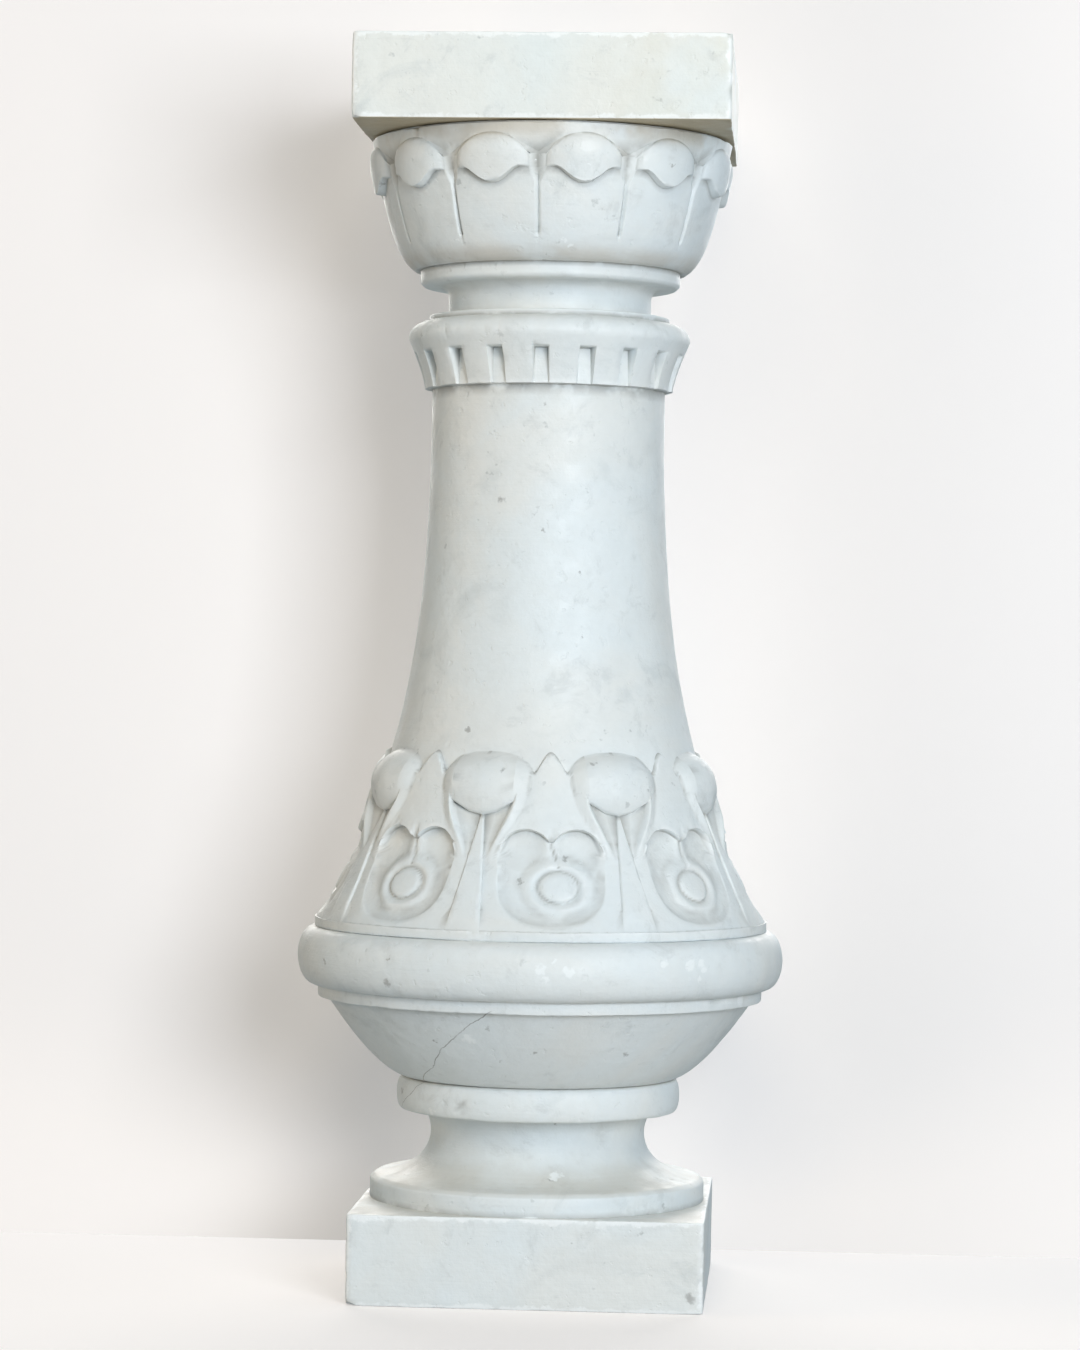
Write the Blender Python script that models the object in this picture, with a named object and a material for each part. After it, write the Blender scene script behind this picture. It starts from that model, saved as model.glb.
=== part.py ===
"""Carved marble baluster: a turned block with its square plinth, under a separate square abacus.

Metres, +Z up. The origin is the middle of the plinth's underside, and the front faces -Y.
Azimuths are in degrees from the front towards +X.
"""

import math

import bmesh
import bpy
import numpy as np
from mathutils import Matrix, Vector

# Fit between the two blocks
BED_GAP = 0.0003

# Square plinth
PLINTH_SIDE = 0.200
PLINTH_HEIGHT = 0.051
PLINTH_CHIP = (0.0060, 0.0050, 0.0060)

# Foot: disc, scotia and ring
DISC_RADIUS = 0.0970
DISC_HEIGHT = 0.0130
DISC_EDGE = 0.0025
SCOTIA_HEIGHT = 0.0380
SCOTIA_FOOT_RADIUS = 0.0940
SCOTIA_HEAD_RADIUS = 0.0663
SCOTIA_FOOT_SLOPE = 175.7
SCOTIA_FOOT_PULL = 0.0340
SCOTIA_HEAD_PULL = 0.0147
SCOTIA_HEAD_SLOPE = 52.5
RING_RADIUS = 0.0820
RING_FOOT_RADIUS = 0.0790
RING_HEAD_RADIUS = 0.0780
RING_HEIGHT = 0.0190

# Body: bowl, listel, torus and band
BOWL_HEIGHT = 0.0457
BOWL_HEAD_RADIUS = 0.1233
BOWL_FOOT_SLOPE = 13.2
BOWL_FOOT_PULL = 0.0150
BOWL_HEAD_SLOPE = 56.1
BOWL_HEAD_PULL = 0.0232
LISTEL_RADIUS = 0.1287
LISTEL_HEIGHT = 0.0071
TORUS_RADIUS = 0.1405
TORUS_BULGE = 0.0110
TORUS_HEIGHT = 0.0332
BAND_RADIUS = 0.1310
BAND_HEIGHT = 0.0055

# Carved bulb that runs into the shaft as one curve
BULB_FOOT_RADIUS = 0.1300
BULB_FOOT_SLOPE = 119.4
BULB_FOOT_PULL = 0.1012
SHAFT_HEIGHT = 0.2060
SHAFT_HEAD_RADIUS = 0.0675
SHAFT_HEAD_PULL = 0.1491

# Hearts with their bosses, curled leaves and pinnacles, carved round the bulb
BULB_UNITS = 8
BULB_PHASE = 6.5
HEART_DEPTH = 0.0048
HEART_HALF_WIDTH = 0.0318
HEART_FOOT = 0.0020
HEART_BODY_HEIGHT = 0.0480
LOBE_CENTRE = 0.0395
LOBE_SPACING = 0.0155
LOBE_RADIUS = 0.0165
BOSS_CENTRE = 0.0255
BOSS_HALF_WIDTH = 0.0122
BOSS_HALF_HEIGHT = 0.0090
BOSS_RISE = 0.0052
BOSS_LIP_WIDTH = 0.0032
BOSS_LIP_RISE = 0.0014
LIP_OVER_LOBES = 0.0075
LIP_RISE = 0.0110
LIP_HALF_WIDTH = 0.0210
HOOD_OVER_LIP = 0.0120
HOOD_ROOT_RADIUS = 0.0840
HOOD_BULGE = 0.0200
HOOD_HALF_WIDTH = 0.0294
HOOD_HALF_HEIGHT = 0.0233
LEAF_HALF_WIDTH = 0.0255
LEAF_WAIST_HALF_WIDTH = 0.0125
LEAF_WAIST_HEIGHT = 0.0350
LEAF_EDGE_RISE = 0.0050
LEAF_EDGE_WIDTH = 0.0055
LEAF_HOLLOW = 0.0022
WEDGE_RISE = 0.0014
WEDGE_HEAD_HALF_WIDTH = 0.0014
WEDGE_FOOT_HALF_WIDTH = 0.0098
PINNACLE_RISE = 0.0028
PINNACLE_HALF_WIDTH = 0.0090
SHOULDER_OVER_HOOD = 0.0110
GABLE_HEIGHT = 0.0115
CARVING_MARGIN = 0.0012

# Slotted collar
COLLAR_FOOT_RADIUS = 0.0720
COLLAR_RADIUS = 0.0819
COLLAR_FLARE_HEIGHT = 0.0290
COLLAR_FLARE_POWER = 1.4
COLLAR_ROUND_HEIGHT = 0.0100
COLLAR_FILLET_RADIUS = 0.0698
COLLAR_FILLET_HEIGHT = 0.0034
SLOT_COUNT = 18
SLOT_PHASE = 0.0
SLOT_WIDTH = 0.0088
SLOT_HEIGHT = 0.0205
SLOT_FLOOR_RADIUS = 0.0712

# Neck and annulet
NECK_RADIUS = 0.0588
NECK_HEIGHT = 0.0170
NECK_COVE = 0.0060
ANNULET_RADIUS = 0.0754
ANNULET_HEIGHT = 0.0090
ANNULET_EDGE = 0.0020

# Bell capital with its leaves, which meet in grooves and end in lobes, with heights from its foot
BELL_FOOT_RADIUS = 0.0790
BELL_FOOT_SLOPE = 31.5
BELL_FOOT_PULL = 0.0147
BELL_HEAD_RADIUS = 0.1046
BELL_HEAD_SLOPE = 77.9
BELL_HEAD_PULL = 0.0429
BELL_UNITS = 12
BELL_PHASE = 0.0
GROOVE_DEPTH = 0.0022
GROOVE_HALF_WIDTH = 0.0022
GROOVE_FOOT = 0.0120
GROOVE_END = 0.0030
BELL_LOBE_CENTRE = 0.0545
BELL_LOBE_RISE = 0.0052
BELL_LOBE_HALF_WIDTH = 0.0222
BELL_LOBE_HEAD = 0.0155
BELL_LOBE_EDGE = 0.0505
BELL_RIM_HEIGHT = 0.0042
BELL_LOBE_DROP = 0.0085
BELL_LOBE_DROP_HALF_WIDTH = 0.0148

# Raised bed that carries the abacus
BED_HEIGHT = 0.0012
BED_INSET = 0.0030

# Square abacus
ABACUS_SIDE = 0.2115
ABACUS_HEIGHT = 0.0483
ABACUS_CHIP = (0.0050, 0.0040, 0.0060)

# Faceting, with the shares of a round outline out to which the grid's rows follow it
PLAIN_SIDES = 32
CURVE_STEPS = 4
CARVED_EDGE = 0.0012
ROLL_FULLNESS = 0.8
SMOOTHING_ANGLE = 38.0
HOOD_FOLLOWED = 0.95
LOBE_FOLLOWED = 0.80
HEART_FOOT_FOLLOWED = 0.83
HEART_SIDE_FOLLOWED = 0.55
BELL_LOBE_FOLLOWED = 0.93

# Where the grid's rows and columns cross a form, as shares of it
HEAD_ROWS = (0.45, 0.85)
BOSS_FACE = 0.6
BOSS_ROOM = 0.75
BAND_ROW = 0.4
SHOULDER_ROW = 0.7

# Heights of the bulb's carving above the bulb's foot, and the bell's whole height
LIP_HEIGHT = LOBE_CENTRE + LOBE_RADIUS + LIP_OVER_LOBES
HOOD_CENTRE = LIP_HEIGHT + HOOD_OVER_LIP
PINNACLE_SHOULDER = HOOD_CENTRE + SHOULDER_OVER_HOOD
PINNACLE_APEX = PINNACLE_SHOULDER + GABLE_HEIGHT
BULB_HEIGHT = max(PINNACLE_APEX, HOOD_CENTRE + HOOD_HALF_HEIGHT) + CARVING_MARGIN
BELL_HEIGHT = BELL_LOBE_CENTRE + BELL_LOBE_HEAD + BELL_RIM_HEIGHT

# Heights of the mouldings, each standing on the one before
PLINTH_TOP = PLINTH_HEIGHT
DISC_TOP = PLINTH_TOP + DISC_HEIGHT
SCOTIA_TOP = DISC_TOP + SCOTIA_HEIGHT
RING_TOP = SCOTIA_TOP + RING_HEIGHT
BOWL_TOP = RING_TOP + BOWL_HEIGHT
LISTEL_TOP = BOWL_TOP + LISTEL_HEIGHT
TORUS_TOP = LISTEL_TOP + TORUS_HEIGHT
BULB_FOOT = TORUS_TOP + BAND_HEIGHT
BULB_TOP = BULB_FOOT + BULB_HEIGHT
SHAFT_TOP = BULB_TOP + SHAFT_HEIGHT
COLLAR_TOP = SHAFT_TOP + COLLAR_FLARE_HEIGHT + COLLAR_ROUND_HEIGHT + COLLAR_FILLET_HEIGHT
NECK_TOP = COLLAR_TOP + NECK_HEIGHT
BELL_FOOT = NECK_TOP + ANNULET_HEIGHT
BELL_TOP = BELL_FOOT + BELL_HEIGHT
BED_TOP = BELL_TOP + BED_HEIGHT
ABACUS_FOOT = BED_TOP + BED_GAP


def smooth(t):
    """0 below 0 and 1 above 1, with a soft step between."""
    t = np.clip(t, 0.0, 1.0)
    return t * t * (3.0 - 2.0 * t)


def from_nearest(azimuth, phase, count):
    """Degrees from the nearest of count centres, one of which is at phase."""
    pitch = 360.0 / count
    return (azimuth - phase + pitch / 2.0) % pitch - pitch / 2.0


def in_order(values):
    """The same values in rising order, kept a hair apart."""
    kept = sorted(values)
    for i in range(1, len(kept)):
        kept[i] = max(kept[i], kept[i - 1] + CARVED_EDGE / 4.0)
    return kept


def across_round(share, followed):
    """Height of a unit circle's arc over a share of its radius, level beyond the followed share."""
    return math.sqrt(1.0 - min(share, followed) ** 2)


def curve(start, start_slope, start_pull, end, end_slope, end_pull, steps):
    """Points (radius, height) of a Bezier curve, with its slopes in degrees above the outward level."""
    leave = math.radians(start_slope)
    arrive = math.radians(end_slope)
    first = np.array(start) + start_pull * np.array((math.cos(leave), math.sin(leave)))
    last = np.array(end) - end_pull * np.array((math.cos(arrive), math.sin(arrive)))
    t = np.linspace(0.0, 1.0, steps + 1)[:, None]
    s = 1.0 - t
    return s**3 * start + 3 * s**2 * t * first + 3 * s * t**2 * last + t**3 * end


def bulb_and_shaft(steps):
    """The one curve that runs from the bulb's foot to the collar."""
    return curve(
        (BULB_FOOT_RADIUS, BULB_FOOT), BULB_FOOT_SLOPE, BULB_FOOT_PULL,
        (SHAFT_HEAD_RADIUS, SHAFT_TOP), 90.0, SHAFT_HEAD_PULL, steps,
    )


def bell_curve(steps):
    """The bell's ground, with a rounded foot under a flare."""
    return curve(
        (BELL_FOOT_RADIUS, BELL_FOOT), BELL_FOOT_SLOPE, BELL_FOOT_PULL,
        (BELL_HEAD_RADIUS, BELL_TOP), BELL_HEAD_SLOPE, BELL_HEAD_PULL, steps,
    )


GROUND = bulb_and_shaft(200)
BELL_GROUND = bell_curve(100)


def ground_radius(z):
    """Radius of the bulb and shaft before carving."""
    return np.interp(z, GROUND[:, 1], GROUND[:, 0])


def bell_ground_radius(z):
    """Radius of the bell before carving."""
    return np.interp(z, BELL_GROUND[:, 1], BELL_GROUND[:, 0])


def leaf_half_width(up):
    """Half width of a curled leaf, from its waist between two hearts to its hood."""
    above = smooth((up - LEAF_WAIST_HEIGHT) / (HOOD_CENTRE - LEAF_WAIST_HEIGHT))
    return LEAF_WAIST_HALF_WIDTH + (LEAF_HALF_WIDTH - LEAF_WAIST_HALF_WIDTH) * above


def wedge_half_width(up):
    """Half width of the plain wedge that runs down the middle of a leaf."""
    share = np.clip(up / LIP_HEIGHT, 0.0, 1.0)
    return WEDGE_FOOT_HALF_WIDTH + (WEDGE_HEAD_HALF_WIDTH - WEDGE_FOOT_HALF_WIDTH) * share


def lip_height(x):
    """Height of the hood's lower lip, which smiles up at both ends."""
    return LIP_HEIGHT + LIP_RISE * np.minimum(np.abs(x) / LIP_HALF_WIDTH, 1.0) ** 2


def hood_top(x):
    """Height where a hood's rounded head meets the shaft, at a distance from the leaf's middle."""
    return HOOD_CENTRE + HOOD_HALF_HEIGHT * across_round(abs(x) / HOOD_HALF_WIDTH, HOOD_FOLLOWED)


def heart_reach(h, up):
    """How far inside the heart a point is: 1 at a middle, 0 on the outline, negative outside."""
    body_half = HEART_BODY_HEIGHT / 2.0
    body = np.hypot(h / HEART_HALF_WIDTH, (up - HEART_FOOT - body_half) / body_half)
    lobe = np.hypot(np.abs(h) - LOBE_SPACING, up - LOBE_CENTRE) / LOBE_RADIUS
    return 1.0 - np.minimum(body, lobe)


def bulb_radius(azimuth, z):
    """Radius of the carved bulb."""
    ground = ground_radius(z)
    up = z - BULB_FOOT
    pitch = 360.0 / BULB_UNITS
    x = np.abs(np.radians(from_nearest(azimuth, BULB_PHASE + pitch / 2.0, BULB_UNITS)) * ground)
    h = np.abs(np.radians(from_nearest(azimuth, BULB_PHASE, BULB_UNITS)) * ground)

    gable = (1.0 - h / PINNACLE_HALF_WIDTH) * (PINNACLE_APEX - PINNACLE_SHOULDER)
    height = PINNACLE_RISE * smooth((PINNACLE_SHOULDER + np.maximum(gable, 0.0) - up) / CARVED_EDGE)

    inward = leaf_half_width(up) - x
    fade = smooth((up - LEAF_WAIST_HEIGHT) / (LIP_HEIGHT - LEAF_WAIST_HEIGHT))
    fade = fade * (1.0 - smooth((up - HOOD_CENTRE) / (PINNACLE_SHOULDER - HOOD_CENTRE)))
    side = smooth(inward / CARVED_EDGE)
    crest = 1.0 - smooth((inward - CARVED_EDGE) / LEAF_EDGE_WIDTH)
    blade = (LEAF_EDGE_RISE * crest - LEAF_HOLLOW * (1.0 - crest)) * fade
    wedge = WEDGE_RISE * smooth((wedge_half_width(up) - x) / CARVED_EDGE + 1.0)
    wedge = wedge * (1.0 - smooth((up - HOOD_CENTRE) / (PINNACLE_SHOULDER - HOOD_CENTRE)))
    height = height * (1.0 - side) * smooth((up - LEAF_WAIST_HEIGHT) / CARVED_EDGE) + (blade + wedge) * side

    reach = heart_reach(h, up)
    bowl = -HEART_DEPTH * np.sqrt(np.clip(1.0 - (1.0 - np.clip(reach, 0.0, 1.0)) ** 2, 0.0, 1.0))
    boss = np.hypot(h / BOSS_HALF_WIDTH, (up - BOSS_CENTRE) / BOSS_HALF_HEIGHT)
    ring = np.clip(1.0 - np.abs((boss - 1.0) * BOSS_HALF_HEIGHT / BOSS_LIP_WIDTH - 0.5) * 2.0, 0.0, 1.0)
    bowl = bowl + BOSS_RISE * np.sqrt(np.clip(1.0 - boss**4, 0.0, 1.0)) + BOSS_LIP_RISE * ring
    inside = smooth(reach * LOBE_RADIUS / CARVED_EDGE)
    height = height * (1.0 - inside) + bowl * inside

    dome = 1.0 - (x / HOOD_HALF_WIDTH) ** 2 - ((up - HOOD_CENTRE) / HOOD_HALF_HEIGHT) ** 2
    hood = HOOD_ROOT_RADIUS + HOOD_BULGE * np.sqrt(np.clip(dome, 0.0, 1.0))
    above_lip = smooth((up - lip_height(x)) / CARVED_EDGE + 1.0)
    radius = ground + height
    return radius + np.maximum(hood - radius, 0.0) * above_lip


def lobe_edge(x):
    """Height of the scalloped lower edge of a bell lobe, with its tongue in the middle."""
    tongue = 0.5 + 0.5 * np.cos(np.pi * np.minimum(np.abs(x) / BELL_LOBE_DROP_HALF_WIDTH, 1.0))
    return BELL_LOBE_EDGE - BELL_LOBE_DROP * tongue


def bell_radius(azimuth, z):
    """Radius of the carved bell."""
    ground = bell_ground_radius(z)
    up = z - BELL_FOOT
    pitch = 360.0 / BELL_UNITS
    side = np.abs(np.radians(from_nearest(azimuth, BELL_PHASE, BELL_UNITS)) * ground)
    x = np.abs(np.radians(from_nearest(azimuth, BELL_PHASE + pitch / 2.0, BELL_UNITS)) * ground)

    rise = np.clip((up - BELL_LOBE_CENTRE) / BELL_LOBE_HEAD, 0.0, 1.0)
    dome = np.sqrt(np.clip(1.0 - (x / BELL_LOBE_HALF_WIDTH) ** 2 - rise**2, 0.0, 1.0))
    lobe = BELL_LOBE_RISE * dome * smooth((up - lobe_edge(x)) / CARVED_EDGE + 1.0)

    between_lobes = x + side - BELL_LOBE_HALF_WIDTH * np.sqrt(1.0 - rise**2)
    opening = np.maximum(between_lobes, GROOVE_HALF_WIDTH)
    groove = GROOVE_DEPTH * np.clip((opening - side) / GROOVE_HALF_WIDTH, 0.0, 1.0)
    groove = groove * smooth((up - GROOVE_FOOT) / GROOVE_END) * (1.0 - smooth(rise))
    return ground + lobe - groove


def collar_profile_radius(z):
    """Radius of the collar's tongues: a corbelled flare under a rounded shoulder."""
    share = np.clip((z - SHAFT_TOP) / COLLAR_FLARE_HEIGHT, 0.0, 1.0)
    flare = COLLAR_FOOT_RADIUS + (COLLAR_RADIUS - COLLAR_FOOT_RADIUS) * share**COLLAR_FLARE_POWER
    turn = np.clip((z - SHAFT_TOP - COLLAR_FLARE_HEIGHT) / COLLAR_ROUND_HEIGHT, 0.0, 1.0)
    shoulder = (COLLAR_RADIUS - COLLAR_FILLET_RADIUS) * (1.0 - np.sqrt(1.0 - turn**2))
    return flare - shoulder


def collar_radius(azimuth, z):
    """Radius of the collar with its slots, which run out through the lower edge."""
    outer = collar_profile_radius(z)
    x = np.abs(np.radians(from_nearest(azimuth, SLOT_PHASE, SLOT_COUNT)) * outer)
    across = smooth((SLOT_WIDTH / 2.0 - x) / CARVED_EDGE + 0.5)
    below = smooth((SHAFT_TOP + SLOT_HEIGHT - z) / CARVED_EDGE + 0.5)
    return outer + (np.minimum(SLOT_FLOOR_RADIUS, outer) - outer) * across * below


def point(azimuth, radius, z):
    """A point from its azimuth in degrees, its radius and its height."""
    turn = math.radians(azimuth)
    return (radius * math.sin(turn), -radius * math.cos(turn), z)


def add_ring(bm, azimuths, radii, heights):
    """A loop of vertices in rising azimuth, as (azimuth, vertex) pairs."""
    rows = zip(azimuths, radii, heights)
    return [(float(a), bm.verts.new(point(float(a), float(r), float(z)))) for a, r, z in rows]


def add_turned(bm, profile):
    """A plain ring for each (radius, height) of a turned profile."""
    azimuths = np.arange(PLAIN_SIDES) * 360.0 / PLAIN_SIDES
    return [add_ring(bm, azimuths, [r] * PLAIN_SIDES, [z] * PLAIN_SIDES) for r, z in profile]


def bridge(bm, lower, upper):
    """Joins two rings with quads, or with triangles in step with their azimuths."""
    if len(lower) == len(upper):
        for i in range(len(lower)):
            j = (i + 1) % len(lower)
            bm.faces.new((lower[i][1], lower[j][1], upper[j][1], upper[i][1]))
        return
    lower = sorted(((a % 360.0, vert) for a, vert in lower), key=lambda pair: pair[0])
    upper = sorted(((a % 360.0, vert) for a, vert in upper), key=lambda pair: pair[0])
    i = 0
    j = 0
    while i < len(lower) or j < len(upper):
        next_low = lower[(i + 1) % len(lower)][0] + 360.0 * (i + 1 >= len(lower))
        next_up = upper[(j + 1) % len(upper)][0] + 360.0 * (j + 1 >= len(upper))
        here_low = lower[i % len(lower)][1]
        here_up = upper[j % len(upper)][1]
        if j >= len(upper) or (i < len(lower) and next_low <= next_up):
            bm.faces.new((here_low, lower[(i + 1) % len(lower)][1], here_up))
            i += 1
        else:
            bm.faces.new((here_low, upper[(j + 1) % len(upper)][1], here_up))
            j += 1


def roll(foot, height, foot_radius, radius, head_radius, steps):
    """A rounded moulding that swells to its radius halfway up."""
    points = []
    for turn in np.linspace(-math.pi / 2.0, math.pi / 2.0, steps + 1):
        root = foot_radius if turn < 0.0 else head_radius
        swell = max(math.cos(turn), 0.0) ** ROLL_FULLNESS
        points.append((root + (radius - root) * swell, foot + height * (0.5 + 0.5 * math.sin(turn))))
    return points


def foot_profile():
    """Disc, scotia and ring, from inside the plinth up to the bowl's foot."""
    scotia = curve(
        (SCOTIA_FOOT_RADIUS, DISC_TOP), SCOTIA_FOOT_SLOPE, SCOTIA_FOOT_PULL,
        (SCOTIA_HEAD_RADIUS, SCOTIA_TOP), SCOTIA_HEAD_SLOPE, SCOTIA_HEAD_PULL, CURVE_STEPS,
    )
    return [
        (DISC_RADIUS, PLINTH_TOP - PLINTH_HEIGHT / 2.0),
        (DISC_RADIUS, DISC_TOP - DISC_EDGE),
        *scotia,
        *roll(SCOTIA_TOP, RING_HEIGHT, RING_FOOT_RADIUS, RING_RADIUS, RING_HEAD_RADIUS, CURVE_STEPS),
    ]


def body_profile():
    """Bowl, listel, torus and band."""
    bowl = curve(
        (RING_HEAD_RADIUS, RING_TOP), BOWL_FOOT_SLOPE, BOWL_FOOT_PULL,
        (BOWL_HEAD_RADIUS, BOWL_TOP), BOWL_HEAD_SLOPE, BOWL_HEAD_PULL, CURVE_STEPS,
    )
    root = TORUS_RADIUS - TORUS_BULGE
    torus = roll(LISTEL_TOP, TORUS_HEIGHT, root, TORUS_RADIUS, root, CURVE_STEPS + 2)
    return [
        *bowl[1:],
        (LISTEL_RADIUS, BOWL_TOP),
        (LISTEL_RADIUS, LISTEL_TOP),
        *torus[1:-1],
        (BAND_RADIUS, TORUS_TOP),
        (BAND_RADIUS, BULB_FOOT),
    ]


def neck_profile():
    """Fillet, neck, cove and annulet."""
    fillet_foot = COLLAR_TOP - COLLAR_FILLET_HEIGHT
    cove = [
        (NECK_RADIUS + NECK_COVE * (1.0 - math.cos(t)), NECK_TOP - NECK_COVE * (1.0 - math.sin(t)))
        for t in np.linspace(0.0, math.pi / 2.0, 3)
    ]
    return [
        (COLLAR_FILLET_RADIUS, fillet_foot),
        (COLLAR_FILLET_RADIUS, COLLAR_TOP),
        (NECK_RADIUS, COLLAR_TOP),
        *cove,
        (ANNULET_RADIUS - ANNULET_EDGE, NECK_TOP),
        (ANNULET_RADIUS, NECK_TOP + ANNULET_EDGE),
        (ANNULET_RADIUS, BELL_FOOT),
    ]


def bulb_columns(up):
    """Offsets from a leaf's middle, in metres, of the grid's columns in half a unit at one height."""
    half_pitch = math.pi / BULB_UNITS * float(ground_radius(BULB_FOOT + up))
    wedge = float(wedge_half_width(up))
    foot = wedge + CARVED_EDGE
    edge = float(leaf_half_width(up)) if up > LOBE_CENTRE else half_pitch - heart_half_width(up)
    edge = max(edge, foot + 3.0 * CARVED_EDGE)
    crest = edge - CARVED_EDGE
    boss = min(BOSS_HALF_WIDTH, (half_pitch - edge) * BOSS_ROOM)
    inner = [0.0, wedge, foot, (foot + crest) / 2.0, crest, edge]
    outer = [(edge + half_pitch - boss) / 2.0, half_pitch - boss, half_pitch - boss * BOSS_FACE]
    return in_order(inner + outer + [half_pitch])


def heart_half_width(up):
    """Half width of a heart up to the middle of its lobes, held where its foot rounds over."""
    body_half = HEART_BODY_HEIGHT / 2.0
    below_middle = max(1.0 - (up - HEART_FOOT) / body_half, 0.0)
    return HEART_HALF_WIDTH * across_round(below_middle, HEART_SIDE_FOLLOWED)


def heart_foot(h):
    """Height of the outline under a heart, above the bulb's foot."""
    drop = across_round(abs(h) / HEART_HALF_WIDTH, HEART_FOOT_FOLLOWED)
    return HEART_FOOT + HEART_BODY_HEIGHT / 2.0 * (1.0 - drop)


def head_outline(x, h):
    """Height of the wavy line over the hoods and the pinnacles between them."""
    gable = (1.0 - min(abs(h) / PINNACLE_HALF_WIDTH, 1.0)) * (PINNACLE_APEX - PINNACLE_SHOULDER)
    return max(hood_top(x), PINNACLE_SHOULDER * (gable > 0.0) + gable)


def lobes_top(h):
    """Height of the outline over a heart's two lobes, above the bulb's foot."""
    return LOBE_CENTRE + LOBE_RADIUS * across_round(abs(abs(h) - LOBE_SPACING) / LOBE_RADIUS, LOBE_FOLLOWED)


def bulb_rows(x, h):
    """Heights above the bulb's foot of the grid's rows, bent to follow the lobes and the lip."""
    foot = heart_foot(h)
    lobes = lobes_top(h)
    lip = float(lip_height(x))
    head = head_outline(x, h)
    low = [HEART_FOOT * BAND_ROW, foot - CARVED_EDGE / 2.0, foot + CARVED_EDGE]
    boss = [BOSS_CENTRE + BOSS_HALF_HEIGHT * share for share in (-1.0, -BOSS_FACE, BOSS_FACE, 1.0)]
    middle = [(boss[-1] + lobes) / 2.0, lobes - CARVED_EDGE, lobes + CARVED_EDGE / 2.0]
    high = [lip - CARVED_EDGE, lip] + [lip + (head - lip) * share for share in HEAD_ROWS]
    return in_order(low + boss + middle + high + [head + CARVED_EDGE / 2.0])


def bulb_rings(bm):
    """The carved bulb as rings whose points follow the wedge, leaf, heart and lip."""
    pitch = 360.0 / BULB_UNITS
    levels = bulb_rows(0.0, pitch)
    rings = []
    for row, level in enumerate(levels):
        azimuths = []
        heights = []
        columns = bulb_columns(level)
        signed = [-c for c in columns[:0:-1]] + columns[:-1]
        for unit in range(BULB_UNITS):
            middle = BULB_PHASE + pitch * (unit + 0.5)
            for x in signed:
                degrees = math.degrees(x / float(ground_radius(BULB_FOOT + level)))
                h = columns[-1] - abs(x)
                azimuths.append(middle + degrees)
                heights.append(BULB_FOOT + bulb_rows(x, h)[row])
        radii = bulb_radius(np.array(azimuths), np.array(heights))
        rings.append(add_ring(bm, azimuths, radii, heights))
    return rings


def bell_columns(ground):
    """Offsets from a groove's middle, in metres, of the grid's columns in half a unit."""
    half_pitch = math.pi / BELL_UNITS * ground
    side = max(half_pitch - BELL_LOBE_HALF_WIDTH, GROOVE_HALF_WIDTH + CARVED_EDGE)
    tongue = max(half_pitch - BELL_LOBE_DROP_HALF_WIDTH, side + CARVED_EDGE)
    return in_order([0.0, GROOVE_HALF_WIDTH, side, tongue, (tongue + half_pitch) / 2.0, half_pitch])


def bell_rows(x):
    """Heights above the bell's foot of the grid's rows, two of which follow the lobe's scalloped edge."""
    edge = float(lobe_edge(x))
    arc = across_round(abs(x) / BELL_LOBE_HALF_WIDTH, BELL_LOBE_FOLLOWED)
    head = BELL_LOBE_CENTRE + BELL_LOBE_HEAD * arc
    low = [0.0, GROOVE_FOOT, GROOVE_FOOT + GROOVE_END, edge - CARVED_EDGE, edge]
    lobe = [edge + (head - edge) * share for share in HEAD_ROWS]
    return in_order(low + lobe + [head + CARVED_EDGE / 2.0, BELL_HEIGHT])


def bell_rings(bm):
    """The carved bell as rings whose points follow the grooves and the lobes."""
    pitch = 360.0 / BELL_UNITS
    rings = []
    for row, level in enumerate(bell_rows(0.0)):
        ground = float(bell_ground_radius(BELL_FOOT + level))
        azimuths = []
        heights = []
        columns = bell_columns(ground)
        signed = [-c for c in columns[:0:-1]] + columns[:-1]
        for unit in range(BELL_UNITS):
            for offset in signed:
                azimuths.append(BELL_PHASE + pitch * unit + math.degrees(offset / ground))
                heights.append(BELL_FOOT + bell_rows(columns[-1] - abs(offset))[row])
        radii = bell_radius(np.array(azimuths), np.array(heights))
        rings.append(add_ring(bm, azimuths, radii, heights))
    return rings


def collar_rings(bm):
    """The collar as rings with four points to each slot, two on its walls' tops and two at their feet."""
    pitch = 360.0 / SLOT_COUNT
    slot_top = SHAFT_TOP + SLOT_HEIGHT
    round_foot = SHAFT_TOP + COLLAR_FLARE_HEIGHT
    heights = [SHAFT_TOP, SHAFT_TOP + SLOT_HEIGHT / 2.0]
    heights += [slot_top - CARVED_EDGE / 2.0, slot_top + CARVED_EDGE / 2.0]
    heights += [round_foot, round_foot + COLLAR_ROUND_HEIGHT * SHOULDER_ROW]
    rings = []
    for z in in_order(heights):
        outer = float(collar_profile_radius(z))
        wall = math.degrees((SLOT_WIDTH + CARVED_EDGE) / 2.0 / outer)
        floor = math.degrees((SLOT_WIDTH - CARVED_EDGE) / 2.0 / outer)
        sides = (-wall, -floor, floor, wall)
        azimuths = [SLOT_PHASE + pitch * slot + side for slot in range(SLOT_COUNT) for side in sides]
        radii = collar_radius(np.array(azimuths), np.full(len(azimuths), z))
        rings.append(add_ring(bm, azimuths, radii, [z] * len(azimuths)))
    return rings


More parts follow.
